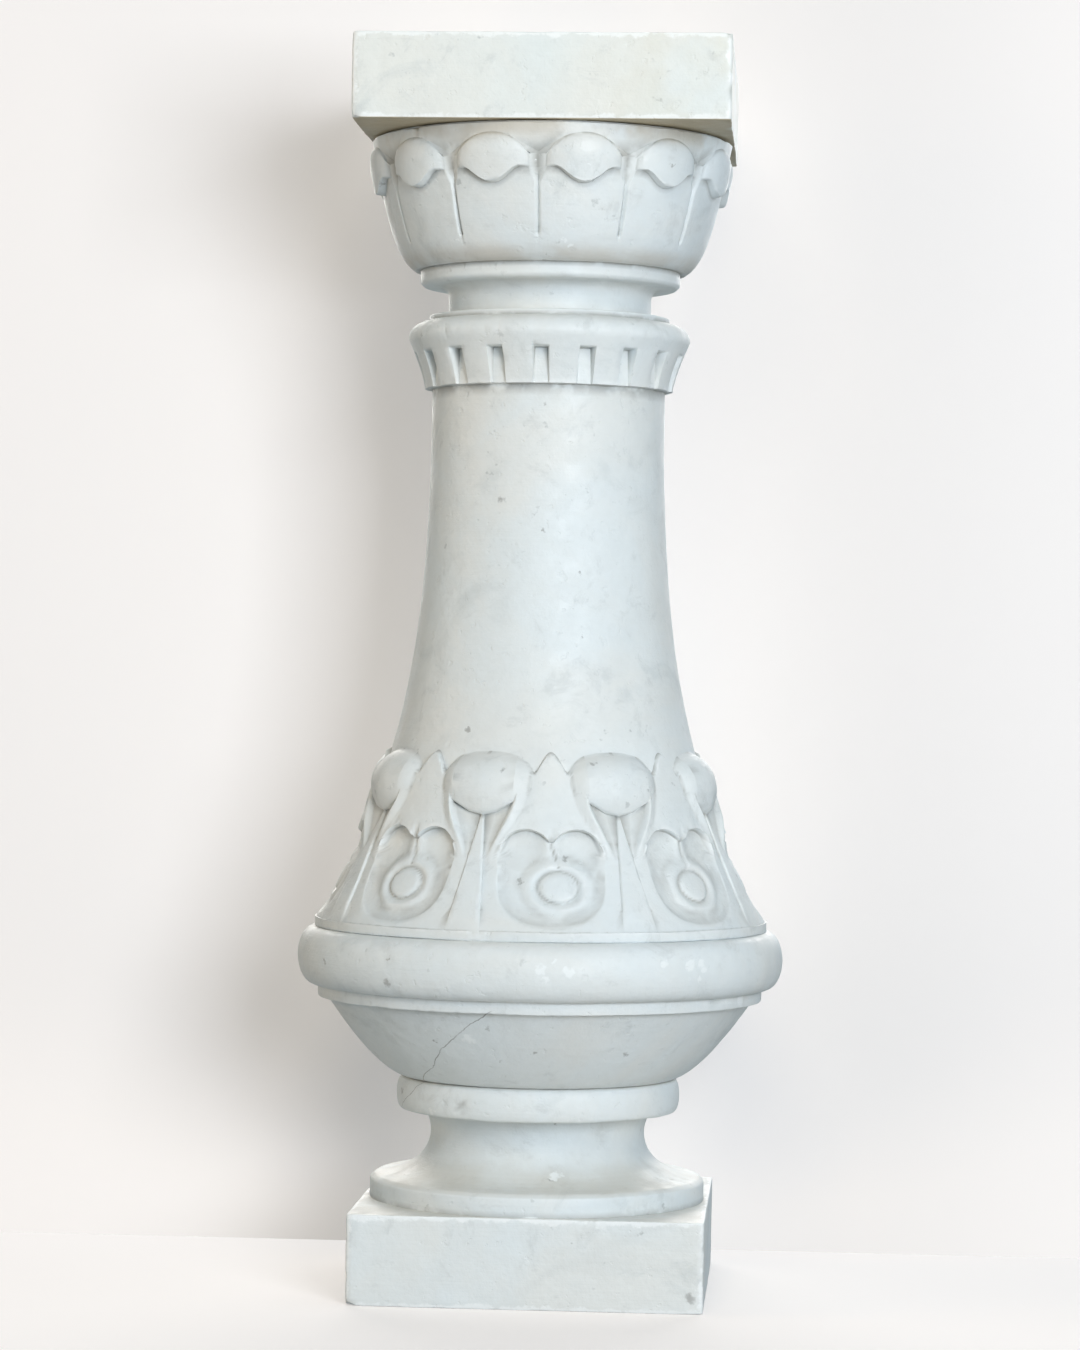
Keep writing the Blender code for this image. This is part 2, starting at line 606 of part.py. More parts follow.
def add_slab(bm, side, foot, height, chip):
    """A square slab whose lower front left corner is chipped off along its three edges."""
    middle = Matrix.Translation((0.0, 0.0, foot + height / 2.0))
    bmesh.ops.create_cube(bm, size=1.0, matrix=middle @ Matrix.Diagonal((side, side, height, 1.0)))
    corner = Vector((-side / 2.0, -side / 2.0, foot))
    tips = [corner + Vector(step) for step in ((chip[0], 0.0, 0.0), (0.0, chip[1], 0.0), (0.0, 0.0, chip[2]))]
    normal = (tips[1] - tips[0]).cross(tips[2] - tips[0])
    if normal.dot(corner - tips[0]) < 0.0:
        normal.negate()
    geometry = bm.verts[:] + bm.edges[:] + bm.faces[:]
    cut = bmesh.ops.bisect_plane(bm, geom=geometry, plane_co=tips[0], plane_no=normal, clear_outer=True)
    rim = [item for item in cut["geom_cut"] if isinstance(item, bmesh.types.BMEdge)]
    bmesh.ops.contextual_create(bm, geom=rim)
    bmesh.ops.recalc_face_normals(bm, faces=bm.faces)


def add_column(bm):
    """The whole turned and carved block above the plinth, as one closed stack of rings."""
    shaft = [(float(ground_radius(z)), z) for z in np.linspace(BULB_TOP, SHAFT_TOP, CURVE_STEPS + 1)]
    bed = [(BELL_HEAD_RADIUS - BED_INSET, BELL_TOP), (BELL_HEAD_RADIUS - BED_INSET, BED_TOP)]
    rings = add_turned(bm, foot_profile() + body_profile())
    rings += bulb_rings(bm)
    rings += add_turned(bm, shaft)
    rings += collar_rings(bm)
    rings += add_turned(bm, neck_profile())
    rings += bell_rings(bm)
    rings += add_turned(bm, bed)
    for lower, upper in zip(rings, rings[1:]):
        bridge(bm, lower, upper)
    bm.faces.new([vert for _, vert in reversed(rings[0])])
    bm.faces.new([vert for _, vert in rings[-1]])


def new_object(name, build, *sizes):
    """An object whose mesh is filled by a build function."""
    bm = bmesh.new()
    build(bm, *sizes)
    mesh = bpy.data.meshes.new(name)
    bm.to_mesh(mesh)
    bm.free()
    obj = bpy.data.objects.new(name, mesh)
    bpy.context.scene.collection.objects.link(obj)
    return obj


def marble(name, color, roughness):
    """A plain honed marble."""
    material = bpy.data.materials.new(name)
    material.use_nodes = True
    shader = material.node_tree.nodes["Principled BSDF"]
    shader.inputs["Base Color"].default_value = (*color, 1.0)
    shader.inputs["Roughness"].default_value = roughness
    shader.inputs["Metallic"].default_value = 0.0
    return material


def make_baluster():
    """The turned and carved block, united with its plinth."""
    baluster = new_object("baluster", add_column)
    plinth = new_object("plinth_guide", add_slab, PLINTH_SIDE, 0.0, PLINTH_HEIGHT, PLINTH_CHIP)
    plinth.hide_render = True
    plinth.display_type = "WIRE"
    union = baluster.modifiers.new("plinth", "BOOLEAN")
    union.operation = "UNION"
    union.solver = "EXACT"
    union.object = plinth
    baluster.data.materials.append(marble("white_marble", (0.68, 0.75, 0.75), 0.45))
    baluster.data.shade_smooth()
    baluster.data.set_sharp_from_angle(angle=math.radians(SMOOTHING_ANGLE))
    return baluster


def make_abacus():
    """The square slab that lies on the bell's bed."""
    abacus = new_object("abacus", add_slab, ABACUS_SIDE, ABACUS_FOOT, ABACUS_HEIGHT, ABACUS_CHIP)
    abacus.data.materials.append(marble("cream_marble", (0.72, 0.73, 0.64), 0.5))
    return abacus


for leftover in list(bpy.data.objects):
    bpy.data.objects.remove(leftover, do_unlink=True)
make_baluster()
make_abacus()
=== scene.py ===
"""Carved marble baluster with its abacus: the fine carving, wear and stains of the stone, in a pale studio.

Metres, +Z up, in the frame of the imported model. Azimuths are in degrees from the front towards +X.
"""

import math

import bpy
import numpy as np
from mathutils import Matrix, Vector, noise


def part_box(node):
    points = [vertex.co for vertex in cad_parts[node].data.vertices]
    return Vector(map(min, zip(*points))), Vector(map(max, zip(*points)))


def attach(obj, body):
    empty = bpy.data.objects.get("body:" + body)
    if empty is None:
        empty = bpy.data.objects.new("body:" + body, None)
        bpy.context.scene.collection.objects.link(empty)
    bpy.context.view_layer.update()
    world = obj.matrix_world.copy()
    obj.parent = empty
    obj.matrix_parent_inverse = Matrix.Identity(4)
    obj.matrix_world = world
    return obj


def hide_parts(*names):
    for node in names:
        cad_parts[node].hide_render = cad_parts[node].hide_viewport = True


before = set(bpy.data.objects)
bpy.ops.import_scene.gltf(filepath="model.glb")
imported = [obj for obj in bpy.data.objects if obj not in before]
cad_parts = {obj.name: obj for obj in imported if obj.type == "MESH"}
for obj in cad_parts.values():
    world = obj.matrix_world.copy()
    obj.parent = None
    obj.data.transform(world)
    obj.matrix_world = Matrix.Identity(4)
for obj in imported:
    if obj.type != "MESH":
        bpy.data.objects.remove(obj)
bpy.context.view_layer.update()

# Plinth and foot
PLINTH_SIDE = 0.200
PLINTH_HEIGHT = 0.051
DISC_RADIUS = 0.0970
DISC_HEIGHT = 0.0130
DISC_EDGE = 0.0025
SCOTIA_HEIGHT = 0.0380
SCOTIA_FOOT_RADIUS = 0.0940
SCOTIA_HEAD_RADIUS = 0.0663
SCOTIA_FOOT_SLOPE = 175.7
SCOTIA_FOOT_PULL = 0.0340
SCOTIA_HEAD_PULL = 0.0147
SCOTIA_HEAD_SLOPE = 52.5
RING_RADIUS = 0.0820
RING_FOOT_RADIUS = 0.0790
RING_HEAD_RADIUS = 0.0780
RING_HEIGHT = 0.0190

# Bowl, listel, torus and band
BOWL_HEIGHT = 0.0457
BOWL_HEAD_RADIUS = 0.1233
BOWL_FOOT_SLOPE = 13.2
BOWL_FOOT_PULL = 0.0150
BOWL_HEAD_SLOPE = 56.1
BOWL_HEAD_PULL = 0.0232
LISTEL_RADIUS = 0.1287
LISTEL_HEIGHT = 0.0071
TORUS_RADIUS = 0.1405
TORUS_BULGE = 0.0110
TORUS_HEIGHT = 0.0332
BAND_RADIUS = 0.1310
BAND_HEIGHT = 0.0055
ROLL_FULLNESS = 0.8

# Bulb and shaft
BULB_HEIGHT = 0.1000
BULB_FOOT_RADIUS = 0.1300
BULB_FOOT_SLOPE = 119.4
BULB_FOOT_PULL = 0.1012
SHAFT_HEIGHT = 0.2060
SHAFT_HEAD_RADIUS = 0.0675
SHAFT_HEAD_PULL = 0.1491

# Carving on the bulb, with heights counted from the bulb's foot
BULB_UNITS = 8
BULB_PHASE = 6.5
HEART_DEPTH = 0.0046
HEART_HALF_WIDTH = 0.0309
HEART_FOOT = 0.0020
HEART_BODY_HEIGHT = 0.0480
LOBE_CENTRE = 0.0403
LOBE_SPACING = 0.0138
LOBE_RADIUS = 0.0153
CREASE_DEPTH = 0.0011
CREASE_HALF_WIDTH = 0.0016
CREASE_SWELL = 0.0011
CREASE_SWELL_WIDTH = 0.0060
BOSS_CENTRE = 0.0238
BOSS_HALF_WIDTH = 0.0117
BOSS_HALF_HEIGHT = 0.0086
BOSS_SHIFTS = (0.0038, 0.0010, -0.0008, 0.0012, 0.0, -0.0010, 0.0008, 0.0012)
BOSS_PLATEAU = -0.0014
BOSS_CROWN = 0.0007
BOSS_WALL = 0.0018
MOAT_DEPTH = 0.0018
MOAT_WIDTH = 0.0034
MOAT_SKIRT = 0.0085
LIP_HEIGHT = 0.0635
LIP_RISE = 0.0110
LIP_HALF_WIDTH = 0.0210
HOOD_CENTRE = 0.0755
HOOD_ROOT_RADIUS = 0.0840
HOOD_BULGE = 0.0200
HOOD_HALF_WIDTH = 0.0312
HOOD_FULLNESS = 2.6
HOOD_HALF_HEIGHT = 0.0226
LEAF_HALF_WIDTH = 0.0262
LEAF_WAIST_HALF_WIDTH = 0.0146
LEAF_WAIST_HEIGHT = 0.0350
LEAF_EDGE_WIDTH = 0.0026
PANEL_LAP = 0.0028
PANEL_LAP_WIDTH = 0.0015
LIP_STEP = 0.0028
WEDGE_RISE = 0.0015
WEDGE_FOOT = 0.0015
WEDGE_FADE = 0.0075
WEDGE_HEAD_HALF_WIDTH = 0.0004
WEDGE_FOOT_HALF_WIDTH = 0.0098
PINNACLE_RISE = 0.0028
PINNACLE_HALF_WIDTH = 0.0090
PINNACLE_SHOULDER = 0.0865
PANEL_FADE = 0.0130
GABLE_HEIGHT = 0.0115
GABLE_SHARPNESS = 0.65

# Slotted collar
COLLAR_FOOT_RADIUS = 0.0720
COLLAR_RADIUS = 0.0819
COLLAR_FLARE_HEIGHT = 0.0290
COLLAR_FLARE_POWER = 1.4
COLLAR_ROUND_HEIGHT = 0.0100
COLLAR_FILLET_RADIUS = 0.0698
COLLAR_FILLET_HEIGHT = 0.0034
SLOT_COUNT = 18
SLOT_PHASE = 0.0
SLOT_WIDTH = 0.0088
SLOT_HEIGHT = 0.0205
SLOT_FLOOR_RADIUS = 0.0704

# Neck and annulet
NECK_RADIUS = 0.0588
NECK_HEIGHT = 0.0170
NECK_COVE = 0.0060
ANNULET_RADIUS = 0.0754
ANNULET_HEIGHT = 0.0090
ANNULET_EDGE = 0.0020

# Bell capital, with heights counted from its foot
BELL_HEIGHT = 0.0742
BELL_FOOT_RADIUS = 0.0790
BELL_FOOT_SLOPE = 31.5
BELL_FOOT_PULL = 0.0147
BELL_HEAD_RADIUS = 0.1046
BELL_HEAD_SLOPE = 77.9
BELL_HEAD_PULL = 0.0429
BELL_UNITS = 12
BELL_PHASE = -1.0
GROOVE_DEPTH = 0.0022
GROOVE_HALF_WIDTH = 0.0015
GROOVE_NARROWS = 0.0380
GROOVE_FLARE = 0.0110
GROOVE_FOOT = 0.0120
GROOVE_END = 0.0030
BELL_LOBE_CENTRE = 0.0545
BELL_LOBE_RISE = 0.0052
BELL_LOBE_HALF_WIDTH = 0.0214
BELL_LOBE_HEAD = 0.0145
BELL_LOBE_EDGE = 0.0505
BELL_LOBE_DROP = 0.0085
BELL_LOBE_DROP_HALF_WIDTH = 0.0148

# Bed and abacus
BED_HEIGHT = 0.0012
BED_INSET = 0.0030

# Where the hood's lip ends and its side rolls on into the leaf's edge
LIP_END = 0.0194
LIP_END_ROLL = 0.0030
HOOD_ROLL_HEIGHT = 0.0100

# How the crease leans towards its boss, and how the carving's forms run into each other
LEAN_OVER_LOBES = 0.0080
LEAN_LENGTH = 0.0140
SWELL_REACH = 0.1
PANEL_START = 0.0020
EDGE_CHANGE = 0.0040
HEART_SQUARENESS = 2.5
TONGUE_FULLNESS = 0.6

# How sharply the chisel cut, and how far the arrises have worn
CUT_EDGE = 0.0008
WORN_ARRIS = 0.0009
FINEST_REACH = 0.0010
ARRIS_WEAR = 0.0002
NICK_DEPTH = 0.0011
DENT_DEPTH = 0.0003

# The plain meshes: longest steps of their profiles, and points on each side of a square
PLINTH_STEP = 0.0035
PLAIN_STEP = 0.0040
BODY_STEP = 0.0030
PLINTH_POINTS = 64
ABACUS_POINTS = 72
SHAFT_RINGS = 32
DISC_SEAT = 0.0008
GRID_ROUNDS = 4

# Pale and warm tones of the two stones
WHITE_STONE = ((0.735, 0.79, 0.808), (0.755, 0.775, 0.76))
CREAM_STONE = ((0.75, 0.80, 0.79), (0.78, 0.79, 0.75))

# Damage, as azimuths in degrees, heights and sizes
CRACK = ((-8.5, 0.1681), (-12.0, 0.1640), (-16.8, 0.1577), (-18.8, 0.1540), (-23.2, 0.1488), (-26.7, 0.1442),
         (-34.6, 0.1323), (-55.0, 0.1180), (-59.8, 0.1122), (-70.8, 0.1047))
PALE_SCARS = (
    (3.7, 0.1928, 0.0035), (9.9, 0.1919, 0.0040), (7.0, 0.1975, 0.0022), (4.8, 0.1874, 0.0030),
    (32.8, 0.1952, 0.0030), (40.0, 0.1942, 0.0038), (43.6, 0.1961, 0.0032), (44.4, 0.1916, 0.0030),
    (43.0, 0.1862, 0.0022), (-16.8, 0.1512, 0.0040), (65.7, 0.1712, 0.0045), (12.0, 0.0712, 0.0050),
    (23.4, 0.0500, 0.0045), (-44.0, 0.1050, 0.0030), (8.7, 0.5973, 0.0018), (11.5, 0.5942, 0.0016),
    (-1.6, 0.6398, 0.0012), (-1.3, 0.5998, 0.0012), (-32.5, 0.5982, 0.0014), (15.2, 0.6375, 0.0010),
)
DARK_FLECKS = (
    (-27.2, 0.1489, 0.0020), (2.3, 0.1441, 0.0018), (-8.5, 0.1381, 0.0012), (30.8, 0.1426, 0.0022),
    (-33.8, 0.1815, 0.0032), (-56.5, 0.1906, 0.0024), (-6.1, 0.2035, 0.0010), (-33.3, 0.1960, 0.0016),
    (12.9, 0.1000, 0.0014), (-69.3, 0.1136, 0.0030), (9.5, 0.0695, 0.0018), (-18.1, 0.4524, 0.0030),
    (2.4, 0.4356, 0.0016), (2.0, 0.5062, 0.0022), (20.4, 0.4123, 0.0016), (20.4, 0.3767, 0.0012),
    (-26.5, 0.3222, 0.0020), (-69.9, 0.6340, 0.0020), (10.6, 0.2515, 0.0022), (-2.6, 0.2397, 0.0020),
    (-9.0, 0.3012, 0.0022), (21.0, 0.3050, 0.0024), (43.3, 0.6409, 0.0012), (43.0, 0.0090, 0.0040),
)

# Heights of the mouldings, each standing on the one before
PLINTH_TOP = PLINTH_HEIGHT
DISC_TOP = PLINTH_TOP + DISC_HEIGHT
SCOTIA_TOP = DISC_TOP + SCOTIA_HEIGHT
RING_TOP = SCOTIA_TOP + RING_HEIGHT
BOWL_TOP = RING_TOP + BOWL_HEIGHT
LISTEL_TOP = BOWL_TOP + LISTEL_HEIGHT
TORUS_TOP = LISTEL_TOP + TORUS_HEIGHT
BULB_FOOT = TORUS_TOP + BAND_HEIGHT
BULB_TOP = BULB_FOOT + BULB_HEIGHT
SHAFT_TOP = BULB_TOP + SHAFT_HEIGHT
COLLAR_TOP = SHAFT_TOP + COLLAR_FLARE_HEIGHT + COLLAR_ROUND_HEIGHT + COLLAR_FILLET_HEIGHT
NECK_TOP = COLLAR_TOP + NECK_HEIGHT
BELL_FOOT = NECK_TOP + ANNULET_HEIGHT
BELL_TOP = BELL_FOOT + BELL_HEIGHT
BED_TOP = BELL_TOP + BED_HEIGHT

# Camera, from the photograph's perspective
CAMERA_DISTANCE = 2.326
CAMERA_AZIMUTH = 3.65
CAMERA_HEIGHT = 0.360
CAMERA_PITCH = -0.158
CAMERA_YAW = 0.063
CAMERA_ROLL = 0.879
CAMERA_LENS = 106.7
CAMERA_SENSOR = 36.0


def smooth(t):
    """0 below 0 and 1 above 1, with a soft step between."""
    t = np.clip(t, 0.0, 1.0)
    return t * t * (3.0 - 2.0 * t)


def from_nearest(azimuth, phase, count):
    """Degrees from the nearest of count centres, one of which is at phase."""
    pitch = 360.0 / count
    return (azimuth - phase + pitch / 2.0) % pitch - pitch / 2.0


def in_order(values, gap):
    """Rows of arrays put in rising order along the first axis, kept a gap apart."""
    kept = np.sort(np.array(values), axis=0)
    for i in range(1, len(kept)):
        kept[i] = np.maximum(kept[i], kept[i - 1] + gap)
    return kept


def divide(keys, parts):
    """The key rows with each interval between them divided into its number of parts."""
    rows = [keys[0]]
    for low, high, count in zip(keys, keys[1:], parts):
        for step in range(1, count + 1):
            rows.append(low + (high - low) * (step / count))
    return np.array(rows)


def curve(start, start_slope, start_pull, end, end_slope, end_pull, steps):
    """Points (radius, height) of a Bezier curve, with its slopes in degrees above the outward level."""
    leave = math.radians(start_slope)
    arrive = math.radians(end_slope)
    first = np.array(start) + start_pull * np.array((math.cos(leave), math.sin(leave)))
    last = np.array(end) - end_pull * np.array((math.cos(arrive), math.sin(arrive)))
    t = np.linspace(0.0, 1.0, steps + 1)[:, None]
    s = 1.0 - t
    return s**3 * start + 3 * s**2 * t * first + 3 * s * t**2 * last + t**3 * end


def roll(foot, height, foot_radius, radius, head_radius, steps):
    """A rounded moulding that swells to its radius halfway up."""
    points = []
    for turn in np.linspace(-math.pi / 2.0, math.pi / 2.0, steps + 1):
        root = foot_radius if turn < 0.0 else head_radius
        swell = max(math.cos(turn), 0.0) ** ROLL_FULLNESS
        points.append((root + (radius - root) * swell, foot + height * (0.5 + 0.5 * math.sin(turn))))
    return points


GROUND = curve(
    (BULB_FOOT_RADIUS, BULB_FOOT), BULB_FOOT_SLOPE, BULB_FOOT_PULL,
    (SHAFT_HEAD_RADIUS, SHAFT_TOP), 90.0, SHAFT_HEAD_PULL, 300,
)
BELL_GROUND = curve(
    (BELL_FOOT_RADIUS, BELL_FOOT), BELL_FOOT_SLOPE, BELL_FOOT_PULL,
    (BELL_HEAD_RADIUS, BELL_TOP), BELL_HEAD_SLOPE, BELL_HEAD_PULL, 200,
)


def ground_radius(z):
    """Radius of the bulb and shaft before carving."""
    return np.interp(z, GROUND[:, 1], GROUND[:, 0])


def bell_ground_radius(z):
    """Radius of the bell before carving."""
    return np.interp(z, BELL_GROUND[:, 1], BELL_GROUND[:, 0])


def leaf_half_width(up):
    """Half width of a curled leaf, from its waist between two hearts to its hood."""
    above = smooth((up - LEAF_WAIST_HEIGHT) / (HOOD_CENTRE - LEAF_WAIST_HEIGHT))
    return LEAF_WAIST_HALF_WIDTH + (LEAF_HALF_WIDTH - LEAF_WAIST_HALF_WIDTH) * above


def wedge_half_width(up):
    """Half width of the plain wedge that runs down the middle of a leaf."""
    share = np.clip(up / LIP_HEIGHT, 0.0, 1.0)
    return WEDGE_FOOT_HALF_WIDTH + (WEDGE_HEAD_HALF_WIDTH - WEDGE_FOOT_HALF_WIDTH) * share


def lip_height(x):
    """Height of the hood's lower lip, which smiles up at both ends."""
    return LIP_HEIGHT + LIP_RISE * np.minimum(np.abs(x) / LIP_HALF_WIDTH, 1.0) ** 2


def gable_height(h):
    """Height of a pinnacle's rounded gable over its shoulders."""
    share = np.minimum(np.abs(h) / PINNACLE_HALF_WIDTH, 1.0)
    return GABLE_HEIGHT * (0.5 + 0.5 * np.cos(np.pi * share)) ** GABLE_SHARPNESS


def heart_reach(h, up):
    """How far inside the heart a point is: 1 at a middle, 0 on the outline, negative outside."""
    body_half = HEART_BODY_HEIGHT / 2.0
    across = np.abs(h / HEART_HALF_WIDTH) ** HEART_SQUARENESS
    along = np.abs((up - HEART_FOOT - body_half) / body_half) ** HEART_SQUARENESS
    body = (across + along) ** (1.0 / HEART_SQUARENESS)
    lobe = np.hypot(np.abs(h) - LOBE_SPACING, up - LOBE_CENTRE) / LOBE_RADIUS
    return 1.0 - np.minimum(body, lobe)


def heart_floor(side, up, shift):
    """Height of a heart's dish, with the crease between its lobes and the boss in its moat."""
    h = np.abs(side)
    reach = np.clip(heart_reach(h, up), 0.0, 1.0)
    floor = -HEART_DEPTH * np.sqrt(1.0 - (1.0 - reach) ** 2)
    above_boss = smooth((up - BOSS_CENTRE) / BOSS_HALF_HEIGHT)
    swell = CREASE_SWELL * np.exp(-((h / CREASE_SWELL_WIDTH) ** 2)) * smooth(reach / SWELL_REACH)

    turn = np.hypot((side - shift) / BOSS_HALF_WIDTH, (up - BOSS_CENTRE) / BOSS_HALF_HEIGHT)
    off = (turn - 1.0) * BOSS_HALF_HEIGHT
    island = smooth((MOAT_SKIRT - off) / (MOAT_SKIRT - MOAT_WIDTH))
    floor = (floor + swell * above_boss) * (1.0 - island) + BOSS_PLATEAU * island
    lean = shift * smooth((LOBE_CENTRE + LEAN_OVER_LOBES - up) / LEAN_LENGTH)
    crease = CREASE_DEPTH * np.clip(1.0 - np.abs(side - lean) / CREASE_HALF_WIDTH, 0.0, 1.0)
    floor = floor - crease * above_boss * smooth((off - 0.5 * MOAT_WIDTH) / CUT_EDGE)
    moat = smooth(np.where(off > 0.0, 1.0 - off / MOAT_WIDTH, 1.0 + off / BOSS_WALL))
    crown = BOSS_CROWN * np.clip(1.0 - turn**2, 0.0, 1.0)
    return floor - MOAT_DEPTH * np.clip(moat, 0.0, 1.0) + crown


def hood_rise(x, aloft):
    """How far the hood stands over its root circle, across and up from its middle."""
    dome = 1.0 - np.abs(x / HOOD_HALF_WIDTH) ** HOOD_FULLNESS - (aloft / HOOD_HALF_HEIGHT) ** 2
    return HOOD_BULGE * np.sqrt(np.clip(dome, 0.0, 1.0))


def bulb_radius(azimuth, z):
    """Radius of the carved bulb."""
    ground = ground_radius(z)
    up = z - BULB_FOOT
    half_pitch = 180.0 / BULB_UNITS
    x = np.abs(np.radians(from_nearest(azimuth, BULB_PHASE + half_pitch, BULB_UNITS)) * ground)
    side = np.radians(from_nearest(azimuth, BULB_PHASE, BULB_UNITS)) * ground
    h = np.abs(side)
    unit = np.round((azimuth - BULB_PHASE) / (2.0 * half_pitch)).astype(int) % BULB_UNITS

    panel = PINNACLE_RISE * smooth((PINNACLE_SHOULDER + gable_height(h) - up) / CUT_EDGE)
    panel = panel * smooth((up - LEAF_WAIST_HEIGHT - PANEL_START) / PANEL_FADE)

    inward = leaf_half_width(up) - x
    fade = smooth((up - LEAF_WAIST_HEIGHT) / (LIP_HEIGHT - LEAF_WAIST_HEIGHT))
    hooded = smooth((up - HOOD_CENTRE) / (PINNACLE_SHOULDER - HOOD_CENTRE))
    across = np.maximum(LEAF_HALF_WIDTH - inward, 0.0)
    roll_height = HOOD_ROOT_RADIUS + hood_rise(across, 0.0) - ground_radius(BULB_FOOT + HOOD_CENTRE)
    rolled = smooth((across - LIP_END) / LEAF_EDGE_WIDTH + 1.0)
    lip = lip_height(x)
    face = HOOD_ROOT_RADIUS + hood_rise(x, lip - HOOD_CENTRE) - ground_radius(BULB_FOOT + lip) - LIP_STEP
    blade = (face + (roll_height - face) * rolled) * fade * smooth(inward / CUT_EDGE)
    wedge = smooth((wedge_half_width(up) - x) / CUT_EDGE + 1.0) * smooth((up - WEDGE_FOOT) / WEDGE_FADE)
    leaf = (blade + WEDGE_RISE * wedge) * (1.0 - hooded)
    lapped = np.maximum(panel * (1.0 - smooth((inward - PANEL_LAP) / PANEL_LAP_WIDTH)), leaf)
    within = smooth((inward - PANEL_LAP - PANEL_LAP_WIDTH) / CUT_EDGE)
    height = lapped * (1.0 - within) + leaf * within

    inside = smooth(heart_reach(h, up) * LOBE_RADIUS / CUT_EDGE)
    height = height * (1.0 - inside) + heart_floor(side, up, np.array(BOSS_SHIFTS)[unit]) * inside

    hood = HOOD_ROOT_RADIUS + hood_rise(x, up - HOOD_CENTRE)
    softness = CUT_EDGE + HOOD_ROLL_HEIGHT * smooth((x - LIP_END) / LIP_END_ROLL)
    above_lip = smooth((up - lip) / softness + 1.0)
    radius = ground + height
    return radius + np.maximum(hood - radius, 0.0) * above_lip


def lobe_edge(x):
    """Height of the scalloped lower edge of a bell lobe, with its tongue in the middle."""
    tongue = 0.5 + 0.5 * np.cos(np.pi * np.minimum(np.abs(x) / BELL_LOBE_DROP_HALF_WIDTH, 1.0))
    return BELL_LOBE_EDGE - BELL_LOBE_DROP * tongue**TONGUE_FULLNESS


def bell_radius(azimuth, z):
    """Radius of the carved bell."""
    ground = bell_ground_radius(z)
    up = z - BELL_FOOT
    half_pitch = 180.0 / BELL_UNITS
    side = np.abs(np.radians(from_nearest(azimuth, BELL_PHASE, BELL_UNITS)) * ground)
    x = np.abs(np.radians(from_nearest(azimuth, BELL_PHASE + half_pitch, BELL_UNITS)) * ground)

    rise = np.clip((up - BELL_LOBE_CENTRE) / BELL_LOBE_HEAD, 0.0, 1.0)
    dome = np.sqrt(np.clip(1.0 - (x / BELL_LOBE_HALF_WIDTH) ** 2 - rise**2, 0.0, 1.0))
    lobe = BELL_LOBE_RISE * dome * smooth((up - lobe_edge(x)) / CUT_EDGE + 1.0)

    between_lobes = x + side - BELL_LOBE_HALF_WIDTH * np.sqrt(1.0 - rise**2)
    opening = np.maximum(between_lobes * smooth((up - GROOVE_NARROWS) / GROOVE_FLARE), GROOVE_HALF_WIDTH)
    groove = GROOVE_DEPTH * np.clip(1.0 - side / opening, 0.0, 1.0)
    groove = groove * smooth((up - GROOVE_FOOT) / GROOVE_END) * (1.0 - smooth(rise))
    return ground + lobe - groove


def collar_profile_radius(z):
    """Radius of the collar's tongues: a corbelled flare under a rounded shoulder."""
    share = np.clip((z - SHAFT_TOP) / COLLAR_FLARE_HEIGHT, 0.0, 1.0)
    flare = COLLAR_FOOT_RADIUS + (COLLAR_RADIUS - COLLAR_FOOT_RADIUS) * share**COLLAR_FLARE_POWER
    turn = np.clip((z - SHAFT_TOP - COLLAR_FLARE_HEIGHT) / COLLAR_ROUND_HEIGHT, 0.0, 1.0)
    shoulder = (COLLAR_RADIUS - COLLAR_FILLET_RADIUS) * (1.0 - np.sqrt(1.0 - turn**2))
    return flare - shoulder


def collar_radius(azimuth, z):
    """Radius of the collar with its slots, which run out through the lower edge."""
    outer = collar_profile_radius(z)
    x = np.abs(np.radians(from_nearest(azimuth, SLOT_PHASE, SLOT_COUNT)) * outer)
    across = smooth((SLOT_WIDTH / 2.0 - x) / CUT_EDGE + 0.5)
    below = smooth((SHAFT_TOP + SLOT_HEIGHT - z) / CUT_EDGE + 0.5)
    return outer + (np.minimum(SLOT_FLOOR_RADIUS, outer) - outer) * across * below


# Rings are (azimuths, radii, heights) arrays, stacked from the foot up

PLAIN_COLUMNS = 144
DENSE_COLUMNS = 110
CRACK_SPAN = (-42.0, -8.0)


def spread_columns():
    """Azimuths all round, close together where the crack runs."""
    low, high = CRACK_SPAN
    dense = np.linspace(low, high, DENSE_COLUMNS, endpoint=False)
    rest = np.linspace(high, low + 360.0, PLAIN_COLUMNS - DENSE_COLUMNS // 4, endpoint=False)
    return np.concatenate((dense, rest))


def turned(profile, azimuths):
    """A plain ring for each (radius, height) of a turned profile."""
    return [(azimuths, np.full(len(azimuths), r), np.full(len(azimuths), z)) for r, z in profile]


def worn(profile, size=WORN_ARRIS, sharp=25.0):
    """The profile with each sharp corner rounded by three points."""
    points = [np.array(p, float) for p in profile]
    kept = [points[0]]
    for before, corner, after in zip(points, points[1:], points[2:]):
        back = before - corner
        ahead = after - corner
        back_length = np.linalg.norm(back)
        ahead_length = np.linalg.norm(ahead)
        turn = math.degrees(math.acos(np.clip(-back @ ahead / back_length / ahead_length, -1.0, 1.0)))
        if turn < sharp:
            kept.append(corner)
            continue
        start = corner + back / back_length * min(size, back_length / 2.5)
        end = corner + ahead / ahead_length * min(size, ahead_length / 2.5)
        kept += [start, (start + end) / 4.0 + corner / 2.0, end]
    return kept + [points[-1]]


def densified(profile, widest):
    """The profile with long steps divided."""
    kept = [profile[0]]
    for low, high in zip(profile, profile[1:]):
        parts = max(1, math.ceil(np.linalg.norm(np.array(high) - low) / widest))
        kept += [np.array(low) + (np.array(high) - low) * (step / parts) for step in range(1, parts + 1)]
    return kept


